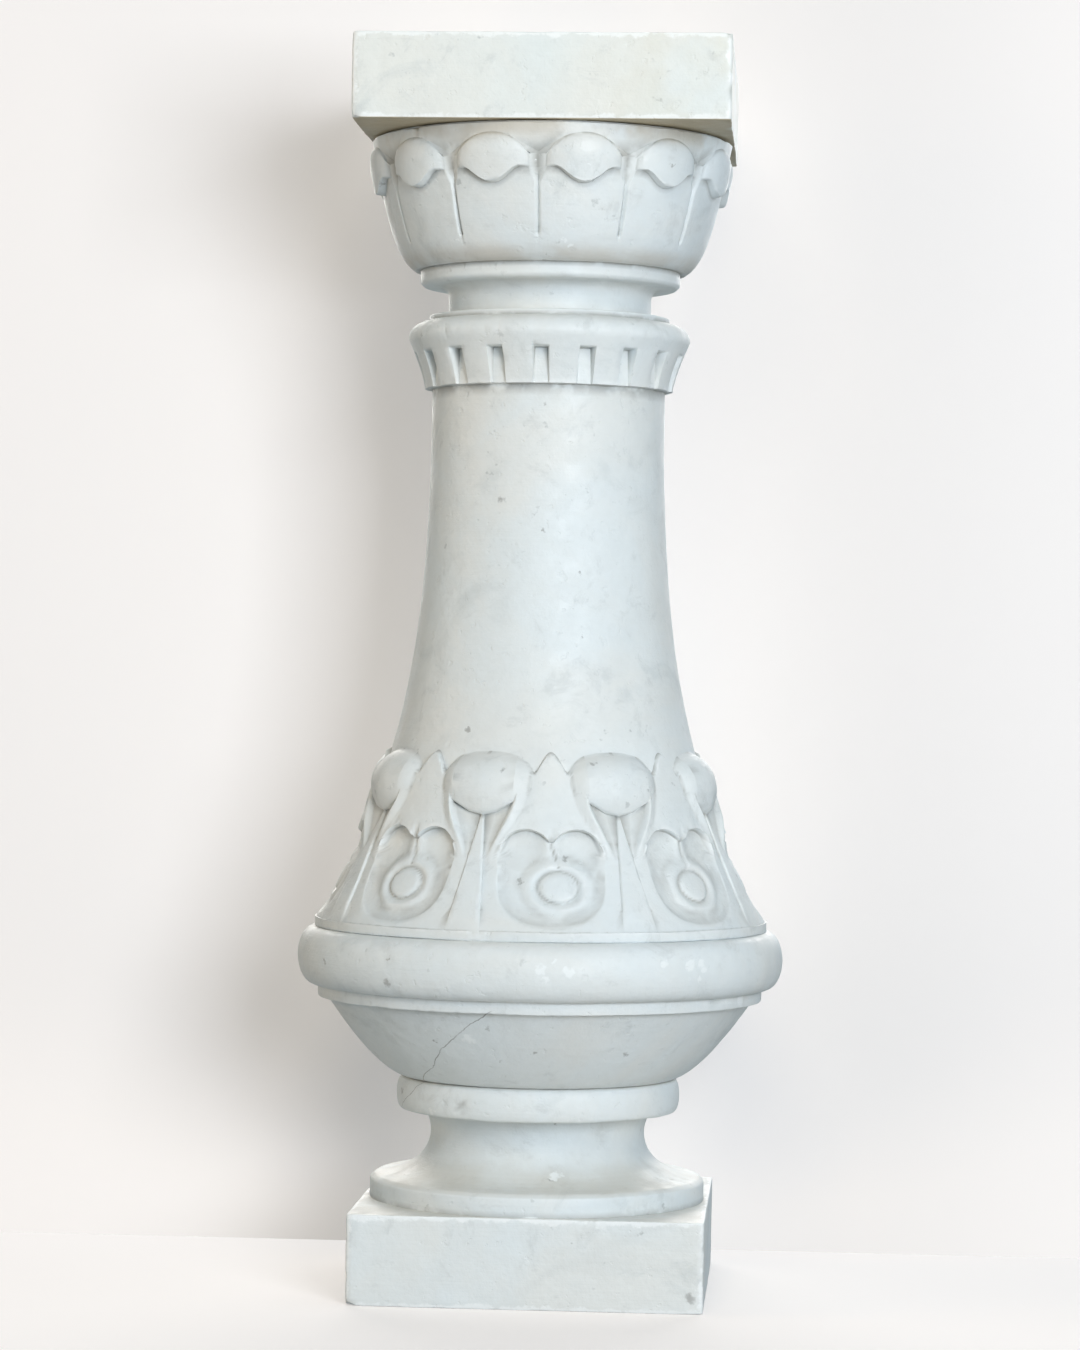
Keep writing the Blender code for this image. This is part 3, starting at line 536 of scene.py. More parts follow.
def foot_profile():
    """Disc, scotia and ring, from the plinth's top up to the bowl's foot."""
    scotia = curve(
        (SCOTIA_FOOT_RADIUS, DISC_TOP), SCOTIA_FOOT_SLOPE, SCOTIA_FOOT_PULL,
        (SCOTIA_HEAD_RADIUS, SCOTIA_TOP), SCOTIA_HEAD_SLOPE, SCOTIA_HEAD_PULL, 16,
    )
    return [
        (DISC_RADIUS, PLINTH_TOP),
        (DISC_RADIUS, DISC_TOP - DISC_EDGE),
        *scotia,
        *roll(SCOTIA_TOP, RING_HEIGHT, RING_FOOT_RADIUS, RING_RADIUS, RING_HEAD_RADIUS, 10),
    ]


def body_profile():
    """Bowl, listel, torus and band."""
    bowl = curve(
        (RING_HEAD_RADIUS, RING_TOP), BOWL_FOOT_SLOPE, BOWL_FOOT_PULL,
        (BOWL_HEAD_RADIUS, BOWL_TOP), BOWL_HEAD_SLOPE, BOWL_HEAD_PULL, 22,
    )
    root = TORUS_RADIUS - TORUS_BULGE
    return [
        *bowl[1:],
        (LISTEL_RADIUS, BOWL_TOP),
        (LISTEL_RADIUS, LISTEL_TOP),
        *roll(LISTEL_TOP, TORUS_HEIGHT, root, TORUS_RADIUS, root, 16),
        (BAND_RADIUS, TORUS_TOP),
        (BAND_RADIUS, BULB_FOOT),
    ]


def neck_profile():
    """Fillet, neck, cove and annulet."""
    fillet_foot = COLLAR_TOP - COLLAR_FILLET_HEIGHT
    cove = [
        (NECK_RADIUS + NECK_COVE * (1.0 - math.cos(t)), NECK_TOP - NECK_COVE * (1.0 - math.sin(t)))
        for t in np.linspace(0.0, math.pi / 2.0, 6)
    ]
    return [
        (COLLAR_FILLET_RADIUS, fillet_foot),
        (COLLAR_FILLET_RADIUS, COLLAR_TOP),
        (NECK_RADIUS, COLLAR_TOP),
        *cove,
        (ANNULET_RADIUS - ANNULET_EDGE, NECK_TOP),
        (ANNULET_RADIUS, NECK_TOP + ANNULET_EDGE),
        (ANNULET_RADIUS, BELL_FOOT),
    ]


def bulb_columns(up):
    """Offsets from a leaf's middle, in metres, of the grid's columns in half a unit, at each height."""
    half_pitch = np.pi / BULB_UNITS * ground_radius(BULB_FOOT + up)
    body_half = HEART_BODY_HEIGHT / 2.0
    below_middle = np.clip(1.0 - (up - HEART_FOOT) / body_half, 0.0, 0.8)
    heart = half_pitch - HEART_HALF_WIDTH * (1.0 - below_middle**HEART_SQUARENESS) ** (1.0 / HEART_SQUARENESS)
    leaf = leaf_half_width(up)
    edge = heart + (leaf - heart) * smooth((up - LOBE_CENTRE) / EDGE_CHANGE + 0.5)
    wedge = wedge_half_width(up)
    crest = edge - (LEAF_HALF_WIDTH - LIP_END)
    boss = half_pitch - BOSS_HALF_WIDTH - MOAT_WIDTH - max(BOSS_SHIFTS)
    keys = [
        np.zeros_like(up), wedge, wedge + CUT_EDGE, crest - LEAF_EDGE_WIDTH, crest, edge - PANEL_LAP, edge,
        edge + 1.2 * CUT_EDGE, boss, half_pitch,
    ]
    keys = in_order(keys[:-1], CUT_EDGE / 2.0)
    room = CUT_EDGE * np.arange(len(keys), 0, -1).reshape(-1, *([1] * up.ndim)) / 3.0
    keys = np.minimum(keys, half_pitch - room)
    return divide(np.concatenate((keys, half_pitch[None])), (3, 2, 2, 4, 3, 2, 2, 3, 14))


def bulb_rows(x, h):
    """Heights above the bulb's foot of the grid's rows, bent to follow the heart, the lip and the hood."""
    body_half = HEART_BODY_HEIGHT / 2.0
    aside = np.clip(h / HEART_HALF_WIDTH, 0.0, 0.85)
    foot = HEART_FOOT + body_half * (1.0 - (1.0 - aside**HEART_SQUARENESS) ** (1.0 / HEART_SQUARENESS))
    across = np.clip(np.abs(h - LOBE_SPACING) / LOBE_RADIUS, 0.0, 0.85)
    lobes = LOBE_CENTRE + LOBE_RADIUS * np.sqrt(1.0 - across**2)
    lip = lip_height(x)
    outward_share = np.clip(x / HOOD_HALF_WIDTH, 0.0, 0.96)
    hood = HOOD_CENTRE + HOOD_HALF_HEIGHT * np.sqrt(1.0 - outward_share**HOOD_FULLNESS)
    head = np.maximum(hood, (PINNACLE_SHOULDER + gable_height(h)) * (h < PINNACLE_HALF_WIDTH))
    low_boss = BOSS_CENTRE - BOSS_HALF_HEIGHT - MOAT_WIDTH
    high_boss = BOSS_CENTRE + BOSS_HALF_HEIGHT + MOAT_WIDTH
    keys = [
        np.zeros_like(x), np.full_like(x, CUT_EDGE), foot, foot + 2.0 * CUT_EDGE,
        np.full_like(x, low_boss) + foot - HEART_FOOT,
        np.full_like(x, high_boss), lobes - 2.0 * CUT_EDGE, lobes + CUT_EDGE / 4.0,
        lip - CUT_EDGE, lip, head, head + CUT_EDGE,
    ]
    keys = in_order(keys, CUT_EDGE / 3.0)
    top = np.maximum(BULB_HEIGHT, keys[-1] + CUT_EDGE)
    return divide(np.concatenate((keys, top[None])), (1, 2, 2, 3, 23, 8, 3, 6, 2, 19, 2, 1))


def bell_columns(up):
    """Offsets from a groove's middle, in metres, of the grid's columns in half a unit, at each height."""
    half_pitch = np.pi / BELL_UNITS * bell_ground_radius(BELL_FOOT + up)
    rise = np.clip((up - BELL_LOBE_CENTRE) / BELL_LOBE_HEAD, 0.0, 0.9)
    between = half_pitch - BELL_LOBE_HALF_WIDTH * np.sqrt(1.0 - rise**2)
    side = np.maximum(between * smooth((up - GROOVE_NARROWS) / GROOVE_FLARE), GROOVE_HALF_WIDTH)
    keys = in_order([np.zeros_like(up), side - GROOVE_HALF_WIDTH, side, side + CUT_EDGE], CUT_EDGE / 2.0)
    keys = np.concatenate((keys, half_pitch[None]))
    return divide(keys, (1, 3, 1, 8))


def bell_rows(_, x):
    """Heights above the bell's foot of the grid's rows, which follow the lobe's scalloped edge."""
    edge = lobe_edge(x)
    across = np.clip(x / BELL_LOBE_HALF_WIDTH, 0.0, 0.97)
    head = BELL_LOBE_CENTRE + BELL_LOBE_HEAD * np.sqrt(1.0 - across**2)
    keys = in_order([
        np.zeros_like(x), np.full_like(x, GROOVE_FOOT), np.full_like(x, GROOVE_FOOT + GROOVE_END),
        edge - CUT_EDGE, edge, head, head + CUT_EDGE / 2.0, np.full_like(x, BELL_HEIGHT),
    ], CUT_EDGE / 4.0)
    return divide(keys, (5, 4, 9, 3, 14, 1, 2))


def all_round(offset, first, units):
    """Azimuths all round from the offsets of one half unit, in degrees, mirrored at each unit's middle."""
    middles = first + 360.0 / units * np.arange(units)
    return (middles[:, None] + np.concatenate((-offset[:0:-1], offset[:-1]))).ravel()


def carved_rings(columns, rows, ground, carved, foot, height, first, units):
    """A carved band as rings whose points follow its columns and rows, which bend with each other."""
    row_count = len(rows(np.zeros(1), np.ones(1)))
    column_count = len(columns(np.zeros(1)))
    up = np.linspace(0.0, height, row_count)[:, None] + np.zeros((row_count, column_count))
    for _ in range(GRID_ROUNDS):
        x = np.array([columns(up[:, j])[j] for j in range(column_count)]).T
        aside = np.pi / units * ground(foot + up) - x
        up = np.array([rows(x[i], aside[i])[i] for i in range(row_count)])
    z = foot + np.minimum(up, height)
    offset = np.degrees(x / ground(z))
    offset[:, -1] = 180.0 / units
    rings = []
    for row in range(row_count):
        azimuths = all_round(offset[row], first, units)
        heights = np.tile(np.concatenate((z[row, :0:-1], z[row, :-1])), units)
        rings.append((azimuths, carved(azimuths, heights), heights))
    return rings


def collar_rings():
    """The slotted collar as rings with columns on both walls of each slot."""
    slot_top = SHAFT_TOP + SLOT_HEIGHT
    round_foot = SHAFT_TOP + COLLAR_FLARE_HEIGHT
    keys = [SHAFT_TOP, slot_top - 1.2 * CUT_EDGE, slot_top - CUT_EDGE / 2.0, slot_top + CUT_EDGE / 2.0,
            slot_top + 1.2 * CUT_EDGE, round_foot]
    heights = list(divide(keys, (6, 1, 2, 1, 3)))
    quarter = np.linspace(0.0, math.pi / 2.0, 8)[1:]
    heights += [round_foot + COLLAR_ROUND_HEIGHT * math.sin(t) for t in quarter]
    heights[-1] -= CUT_EDGE / 4.0
    rings = []
    for z in heights:
        outer = collar_profile_radius(z)
        half_pitch = math.pi / SLOT_COUNT * outer
        walls = [SLOT_WIDTH / 2.0 + CUT_EDGE * share for share in (-1.0, -0.5, 0.5, 1.0)]
        offset = np.degrees(divide([0.0, *walls, half_pitch], (1, 1, 2, 1, 2)) / outer)
        azimuths = all_round(offset, SLOT_PHASE, SLOT_COUNT)
        rings.append((azimuths, collar_radius(azimuths, z), np.full(len(azimuths), z)))
    return rings


def square_ring(half_side, z, per_side):
    """A ring round a square with slightly rounded corners."""
    steps = (np.arange(per_side) + 0.5) / per_side * 2.0 - 1.0
    side = half_side * np.sin(steps * math.pi / 2.0) * 0.15 + half_side * steps * 0.85
    x = np.concatenate([side, np.full(per_side, half_side), -side, np.full(per_side, -half_side)])
    y = np.concatenate([np.full(per_side, -half_side), side, np.full(per_side, half_side), -side])
    azimuths = np.degrees(np.arctan2(x, -y))
    return azimuths, np.hypot(x, y), np.full(4 * per_side, z)


def square_stack(profile, per_side):
    """Square rings for each (half side, height)."""
    return [square_ring(half, z, per_side) for half, z in profile]


def stone_mesh(name, rings):
    """A closed mesh from a stack of rings, capped flat at both ends."""
    points = []
    faces = []
    starts = []
    for azimuths, radii, heights in rings:
        starts.append(sum(len(p) for p in points))
        turn = np.radians(azimuths)
        points.append(np.stack((radii * np.sin(turn), -radii * np.cos(turn), heights), axis=1))
    for k in range(len(rings) - 1):
        faces += bridge(rings[k][0], starts[k], rings[k + 1][0], starts[k + 1])
    first = order_of(rings[0][0])
    last = order_of(rings[-1][0])
    faces.append([starts[0] + i for i in first[::-1]])
    faces.append([starts[-1] + i for i in last])
    mesh = bpy.data.meshes.new(name)
    mesh.from_pydata(np.concatenate(points).tolist(), [], faces)
    mesh.update()
    return mesh


def order_of(azimuths):
    """Indices that put a ring's points in rising azimuth from 0 to 360."""
    return [int(i) for i in np.argsort(azimuths % 360.0, kind="stable")]


def bridge(low_azimuths, low_start, high_azimuths, high_start):
    """Faces between two rings: quads where they match, or triangles in step with their azimuths."""
    count = len(low_azimuths)
    if count == len(high_azimuths):
        return [
            (low_start + i, low_start + (i + 1) % count, high_start + (i + 1) % count, high_start + i)
            for i in range(count)
        ]
    lower = order_of(low_azimuths)
    upper = order_of(high_azimuths)
    low = [float(low_azimuths[i] % 360.0) for i in lower]
    high = [float(high_azimuths[i] % 360.0) for i in upper]
    faces = []
    i = 0
    j = 0
    while i < len(lower) or j < len(upper):
        next_low = low[(i + 1) % len(low)] + 360.0 * (i + 1 >= len(low))
        next_high = high[(j + 1) % len(high)] + 360.0 * (j + 1 >= len(high))
        here_low = low_start + lower[i % len(lower)]
        here_high = high_start + upper[j % len(upper)]
        if j >= len(upper) or (i < len(lower) and next_low <= next_high):
            faces.append((here_low, low_start + lower[(i + 1) % len(lower)], here_high))
            i += 1
        else:
            faces.append((here_low, high_start + upper[(j + 1) % len(upper)], here_high))
            j += 1
    return faces


# Wear

def mesh_arrays(mesh):
    """Positions, normals and edges of a mesh as arrays."""
    points = np.zeros(len(mesh.vertices) * 3)
    mesh.vertices.foreach_get("co", points)
    normals = np.zeros(len(mesh.vertices) * 3)
    mesh.vertices.foreach_get("normal", normals)
    edges = np.zeros(len(mesh.edges) * 2, int)
    mesh.edges.foreach_get("vertices", edges)
    return points.reshape(-1, 3), normals.reshape(-1, 3), edges.reshape(-1, 2)


def neighbour_mean(values, edges):
    """The mean of each vertex's neighbours, for an array of values."""
    total = np.zeros_like(values)
    count = np.zeros(len(values))
    for a, b in ((0, 1), (1, 0)):
        np.add.at(total, edges[:, a], values[edges[:, b]])
        np.add.at(count, edges[:, a], 1.0)
    shape = (-1,) + (1,) * (values.ndim - 1)
    return total / np.maximum(count, 1.0).reshape(shape)


def concavity(mesh, rounds):
    """How deep each vertex lies in a crease: positive in grooves, negative on arrises."""
    points, normals, edges = mesh_arrays(mesh)
    length = np.linalg.norm(points[edges[:, 0]] - points[edges[:, 1]], axis=1)
    reach = np.zeros(len(points))
    count = np.zeros(len(points))
    for side in (0, 1):
        np.add.at(reach, edges[:, side], length)
        np.add.at(count, edges[:, side], 1.0)
    reach = np.maximum(reach / np.maximum(count, 1.0), FINEST_REACH)
    field = np.sum((neighbour_mean(points, edges) - points) * normals, axis=1) / reach
    for _ in range(rounds):
        field = 0.5 * field + 0.5 * neighbour_mean(field, edges)
    return field


def rough(points, scale, octaves, offset=0.0):
    """Fractal noise at each point, about -1 to 1."""
    shift = Vector((offset, 0.37 * offset, -0.73 * offset))
    return np.array([noise.fractal(Vector(p) * scale + shift, 1.0, 2.0, octaves) for p in points])


def cut_chips(points, chips):
    """Flattens what stands out beyond each chip's plane, roughly."""
    for centre, normal, size in chips:
        centre = np.array(centre)
        normal = np.array(normal) / np.linalg.norm(normal)
        near = np.linalg.norm(points - centre, axis=1) < size * 4.0
        index = np.nonzero(near)[0]
        out = (points[index] - centre) @ normal + size
        out = out + rough(points[index], 260.0, 3) * size * 0.35
        cut = np.clip(out, 0.0, None)
        points[index] -= normal * cut[:, None]
    return points


def weather(mesh, chips):
    """Wears the arrises, cuts the chips, and keeps creases, hollows and arrises as attributes."""
    points, normals, _ = mesh_arrays(mesh)
    foot = points[:, 2].min()
    arris = np.clip(-concavity(mesh, 1) * 4.0, 0.0, 1.0)
    nicks = np.clip(rough(points, 90.0, 4) * 1.6 - 0.25, 0.0, 1.0)
    points -= normals * (arris * (ARRIS_WEAR + NICK_DEPTH * nicks))[:, None]
    points += normals * (rough(points, 22.0, 3, 5.0) * DENT_DEPTH)[:, None]
    points[:, 2] = np.maximum(points[:, 2], foot)
    points = cut_chips(points, chips)
    mesh.vertices.foreach_set("co", points.ravel())
    mesh.update()
    # The first two darken the grooves and recesses in the material, as dirt together with painted shade; the
    # last pales the worn arrises.
    for name, rounds, gain in (("crease", 0, 3.0), ("hollow_dirt_and_shade", 6, 6.0), ("arris", 0, -3.0)):
        layer = mesh.attributes.new(name, "FLOAT", "POINT")
        values = np.clip(concavity(mesh, rounds) * gain, 0.0, 1.0)
        layer.data.foreach_set("value", values.astype(np.float32))


def to_point(azimuth, radius, z):
    """A point or direction from its azimuth in degrees, its radius and its height."""
    turn = math.radians(azimuth)
    return (radius * math.sin(turn), -radius * math.cos(turn), z)


def make_baluster(material):
    """The whole carved block as one closed piece."""
    half = PLINTH_SIDE / 2.0
    plinth = worn([(half - 0.02, 0.0), (half, 0.0), (half, PLINTH_TOP), (half - 0.001, PLINTH_TOP)])
    even = np.arange(PLAIN_COLUMNS) * 360.0 / PLAIN_COLUMNS
    dense = spread_columns()
    heights = np.linspace(BULB_TOP + 0.001, SHAFT_TOP - 0.0005, SHAFT_RINGS)
    shaft = [(float(ground_radius(z)), z) for z in heights]
    bed = [(BELL_HEAD_RADIUS - BED_INSET, BELL_TOP), (BELL_HEAD_RADIUS - BED_INSET, BED_TOP)]
    seat = [(DISC_RADIUS + DISC_SEAT, PLINTH_TOP)]
    rings = square_stack(densified(plinth, PLINTH_STEP), PLINTH_POINTS)
    rings += turned(seat + densified(worn(foot_profile()), PLAIN_STEP), even)
    rings += turned(densified(worn(body_profile()), BODY_STEP), dense)
    rings += carved_rings(bulb_columns, bulb_rows, ground_radius, bulb_radius,
                          BULB_FOOT, BULB_HEIGHT, BULB_PHASE + 180.0 / BULB_UNITS, BULB_UNITS)
    rings += turned(shaft, even)
    rings += collar_rings()
    rings += turned(densified(worn(neck_profile()), PLAIN_STEP), even)
    rings += carved_rings(bell_columns, bell_rows, bell_ground_radius, bell_radius,
                          BELL_FOOT, BELL_HEIGHT, BELL_PHASE, BELL_UNITS)
    rings += turned(bed, even)
    mesh = stone_mesh("carved_baluster", rings)
    chips = [
        ((-half, -half, 0.0), (-1.0, -1.0, -1.0), 0.0035),
        ((half, -half, 0.0), (1.0, -1.0, -0.6), 0.0012),
        ((half * 0.35, -half, PLINTH_TOP), (0.0, -1.0, 1.0), 0.0012),
        (to_point(55.0, LISTEL_RADIUS, LISTEL_TOP), to_point(55.0, 1.0, 0.2), 0.0016),
        (to_point(-28.0, RING_RADIUS, SCOTIA_TOP + 0.007), to_point(-28.0, 1.0, 0.0), 0.0009),
    ]
    weather(mesh, chips)
    return add_piece("carved_baluster", mesh, material, "baluster")


def make_abacus(material):
    """The square slab with its worn arrises."""
    low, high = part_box("abacus")
    half = (high.x - low.x) / 2.0
    faces = [(half * 0.3, low.z), (half, low.z), (half, high.z), (half * 0.3, high.z)]
    mesh = stone_mesh("worn_abacus", square_stack(densified(worn(faces), PLAIN_STEP), ABACUS_POINTS))
    chips = [
        ((-half, -half, low.z), (-1.0, -1.0, -1.0), 0.0030),
        ((half, -half, low.z + 0.012), (1.0, -1.0, 0.3), 0.0012),
        ((half, -half, high.z), (1.0, -1.0, 1.0), 0.0022),
    ]
    weather(mesh, chips)
    return add_piece("worn_abacus", mesh, material, "abacus")


def add_piece(name, mesh, material, node):
    """An object that stands for a node and rides on the one body."""
    mesh.materials.append(material)
    mesh.shade_smooth()
    mesh.set_sharp_from_angle(angle=math.radians(50.0))
    piece = bpy.data.objects.new(name, mesh)
    bpy.context.scene.collection.objects.link(piece)
    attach(piece, "root")
    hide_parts(node)
    return piece


# Materials

SPOT_RAGGED = 0.0085
ARRIS_RAGGED = 0.011
ARRIS_BAND = (0.0031, 0.0012)
CRACK_WOBBLE = 0.045
CRACK_WIDTH = 0.0060
BUMP_HEIGHT = 0.0007
STREAKS = (9.0, 9.0, 420.0)


class Graph:
    """A material's nodes, added and linked by short calls."""

    def __init__(self, name):
        self.material = bpy.data.materials.new(name)
        self.material.use_nodes = True
        self.tree = self.material.node_tree
        self.shader = self.tree.nodes["Principled BSDF"]
        self.place = self.node("ShaderNodeTexCoord").outputs["Object"]
        self.axes = self.node("ShaderNodeSeparateXYZ", {0: self.place}).outputs

    def node(self, kind, inputs=None, **settings):
        """A node with its settings, and its inputs given as numbers or as outputs to link."""
        made = self.tree.nodes.new(kind)
        for key, value in settings.items():
            setattr(made, key, value)
        for key, value in (inputs or {}).items():
            if isinstance(value, bpy.types.NodeSocket):
                self.tree.links.new(value, made.inputs[key])
            else:
                made.inputs[key].default_value = value
        return made

    def noise(self, scale, detail=4.0, roughness=0.55, distortion=0.0, place=None):
        """Fractal noise, 0 to 1."""
        inputs = {"Vector": place or self.place, "Scale": scale, "Detail": detail,
                  "Roughness": roughness, "Distortion": distortion}
        return self.node("ShaderNodeTexNoise", inputs).outputs["Fac"]

    def math(self, operation, a, b=0.0):
        """A sum, product or the like of two values."""
        return self.node("ShaderNodeMath", {0: a, 1: b}, operation=operation).outputs[0]

    def rescale(self, value, low, high, to_low=0.0, to_high=1.0):
        """A value taken from one range to another, with a soft step."""
        inputs = {"Value": value, "From Min": low, "From Max": high, "To Min": to_low, "To Max": to_high}
        return self.node("ShaderNodeMapRange", inputs, interpolation_type="SMOOTHSTEP").outputs["Result"]

    def mix(self, share, a, b):
        """Two colours mixed by a share."""
        a, b = (c if isinstance(c, bpy.types.NodeSocket) else (*c, 1.0) for c in (a, b))
        return self.node("ShaderNodeMix", {0: share, 6: a, 7: b}, data_type="RGBA").outputs[2]

    def tint(self, color, mask, share, tone):
        """The colour moved towards a tone where the mask is, by a share."""
        return self.mix(self.times(mask, share), color, tone)

    def times(self, a, b):
        """The product of two values."""
        return self.math("MULTIPLY", a, b)

    def patches(self, noise_inputs, low, high, to_low=0.0, to_high=1.0):
        """Soft patches: noise with these inputs, rescaled."""
        return self.rescale(self.noise(*noise_inputs), low, high, to_low, to_high)

    def vector(self, operation, inputs, output=0):
        """A sum, product or the like of vectors."""
        return self.node("ShaderNodeVectorMath", inputs, operation=operation).outputs[output]

    def feed(self, key, value):
        """Links a value to the shader's input."""
        self.tree.links.new(value, self.shader.inputs[key])

    def attribute(self, name):
        """A number kept on the mesh."""
        return self.node("ShaderNodeAttribute", attribute_name=name).outputs["Fac"]


def surface_radius(azimuth, z):
    """The baluster's radius at an azimuth and a height, as far as a mark on it needs."""
    if z < PLINTH_TOP:
        turn = math.radians(azimuth)
        return PLINTH_SIDE / 2.0 / max(abs(math.sin(turn)), abs(math.cos(turn)))
    if z < BULB_FOOT:
        profile = foot_profile() + body_profile()
        return float(np.interp(z, [p[1] for p in profile], [p[0] for p in profile]))
    if z < BULB_TOP:
        return float(bulb_radius(azimuth, z))
    if z < BELL_FOOT:
        return float(ground_radius(z))
    return float(bell_radius(azimuth, z))


def spots(g, marks, blur):
    """How much of a mark there is: ragged spots at the marks' places."""
    ragged = g.node("ShaderNodeTexNoise", {"Vector": g.place, "Scale": 260.0, "Detail": 3.0}).outputs["Color"]
    ragged = g.vector("SUBTRACT", {0: ragged, 1: (0.5, 0.5, 0.5)})
    place = g.vector("ADD", {0: g.place, 1: g.vector("SCALE", {0: ragged, "Scale": SPOT_RAGGED})})
    found = 0.0
    for azimuth, z, size in marks:
        centre = to_point(azimuth, surface_radius(azimuth, z), z)
        away = g.vector("DISTANCE", {0: place, 1: centre}, "Value")
        found = g.math("MAXIMUM", g.rescale(away, size, size * (1.0 - blur)), found)
    return found


def worn_arrises(g, half, low, high):
    """A ragged pale band along the arrises of a square block."""
    x = g.math("SUBTRACT", half, g.math("ABSOLUTE", g.axes["X"]))
    y = g.math("SUBTRACT", half, g.math("ABSOLUTE", g.axes["Y"]))
    z = g.math("MINIMUM", g.math("SUBTRACT", g.axes["Z"], low), g.math("SUBTRACT", high, g.axes["Z"]))
    farthest = g.math("MAXIMUM", g.math("MAXIMUM", x, y), z)
    near = g.math("SUBTRACT", g.math("ADD", g.math("ADD", x, y), z), farthest)
    ragged = g.times(g.math("SUBTRACT", g.noise(85.0, 5.0, 0.7), 0.5), ARRIS_RAGGED)
    return g.rescale(g.math("ADD", near, ragged), *ARRIS_BAND)


def crack_line(g, path, wide):
    """A hairline along a path of azimuths that changes steadily with height."""
    azimuth = g.math("ARCTAN2", g.axes["X"], g.times(g.axes["Y"], -1.0))
    last, foot = path[-1]
    first, head = path[0]
    share = g.math("DIVIDE", g.math("SUBTRACT", g.axes["Z"], foot), head - foot)
    follow = g.node("ShaderNodeFloatCurve", {"Factor": 1.0, "Value": share})
    points = follow.mapping.curves[0].points
    for a, z in path[-2:0:-1]:
        points.new((z - foot) / (head - foot), (a - last) / (first - last))
    for point in points:
        point.handle_type = "VECTOR"
    follow.mapping.update()
    low = math.radians(last)
    course = g.math("ADD", g.times(follow.outputs[0], math.radians(first) - low), low)
    wobble = g.times(g.math("SUBTRACT", g.noise(140.0, 4.0), 0.5), CRACK_WOBBLE)
    away = g.math("ABSOLUTE", g.math("ADD", g.math("SUBTRACT", azimuth, course), wobble))
    ends = g.times(g.rescale(share, -0.04, 0.02), g.rescale(share, 1.02, 0.98))
    thin = g.patches((60.0, 3.0), 0.30, 0.62, 0.35, 1.0)
    return g.times(g.times(g.rescale(away, wide, wide * 0.35), ends), thin)


def marble(name, pale, warm, stains):
    """Weathered marble: clouds, faint veins, flecks, dirt and painted shade in the creases and hollows, and
    pale worn arrises.
    """
    g = Graph(name)
    clouds = g.patches((7.0, 5.0, 0.6, 0.6), 0.38, 0.66)
    color = g.mix(clouds, pale, warm)
    grey = g.patches((16.0, 6.0, 0.65, 1.2), 0.56, 0.74)
    color = g.tint(color, grey, 0.42, (0.50, 0.55, 0.56))
    smudge = g.patches((48.0, 5.0, 0.7, 0.5), 0.54, 0.72)
    color = g.tint(color, smudge, 0.34, (0.47, 0.50, 0.50))
    ridge = g.math("ABSOLUTE", g.math("SUBTRACT", g.noise(5.5, 2.0, 0.5, 0.8), 0.5))
    vein = g.times(g.rescale(ridge, 0.035, 0.0), g.patches((6.0, 3.0), 0.45, 0.62))
    color = g.tint(color, vein, 0.12, (0.50, 0.53, 0.53))
    fleck = g.patches((120.0, 3.0), 0.66, 0.74)
    fleck = g.times(fleck, g.patches((11.0, 3.0), 0.46, 0.62))
    color = g.tint(color, fleck, 0.55, (0.33, 0.36, 0.36))
    color = g.tint(color, g.patches((210.0, 4.0), 0.35, 0.7), 0.10, (0.60, 0.63, 0.62))

    # Painted shade with dirt: broad recesses darkened to a warm grey.
    hollow_dirt_and_shade = g.times(g.attribute("hollow_dirt_and_shade"), g.patches((45.0, 4.0), 0.30, 0.62))
    color = g.tint(color, hollow_dirt_and_shade, 0.38, (0.50, 0.48, 0.43))
    # Painted shade with dirt: creases along the carved outlines darkened almost to black.
    crease = g.times(g.attribute("crease"), g.patches((70.0, 3.0), 0.25, 0.50))
    color = g.tint(color, crease, 0.72, (0.26, 0.26, 0.24))
    worn_edge = g.times(g.attribute("arris"), g.patches((60.0, 3.0), 0.40, 0.60))
    color = g.tint(color, worn_edge, 0.60, (0.90, 0.93, 0.94))
    g.feed("Base Color", stains(g, color))
    g.feed("Roughness", g.patches((90.0, 4.0), 0.30, 0.70, 0.42, 0.62))

    grain = g.noise(420.0, 5.0, 0.6)
    pits = g.patches((150.0, 3.0), 0.70, 0.64)
    streaks = g.noise(1.0, 5.0, 0.65, 0.0, g.vector("MULTIPLY", {0: g.place, 1: STREAKS}))
    height = g.math("ADD", g.times(grain, 0.35), g.times(pits, 0.5))
    height = g.math("ADD", height, g.times(streaks, 0.45))
    height = g.math("ADD", height, g.times(g.noise(70.0, 4.0, 0.6), 2.2))
    bump = g.node("ShaderNodeBump", {"Height": height, "Strength": 0.50, "Distance": BUMP_HEIGHT})
    g.feed("Normal", bump.outputs["Normal"])
    g.shader.inputs["IOR"].default_value = 1.5
    return g.material


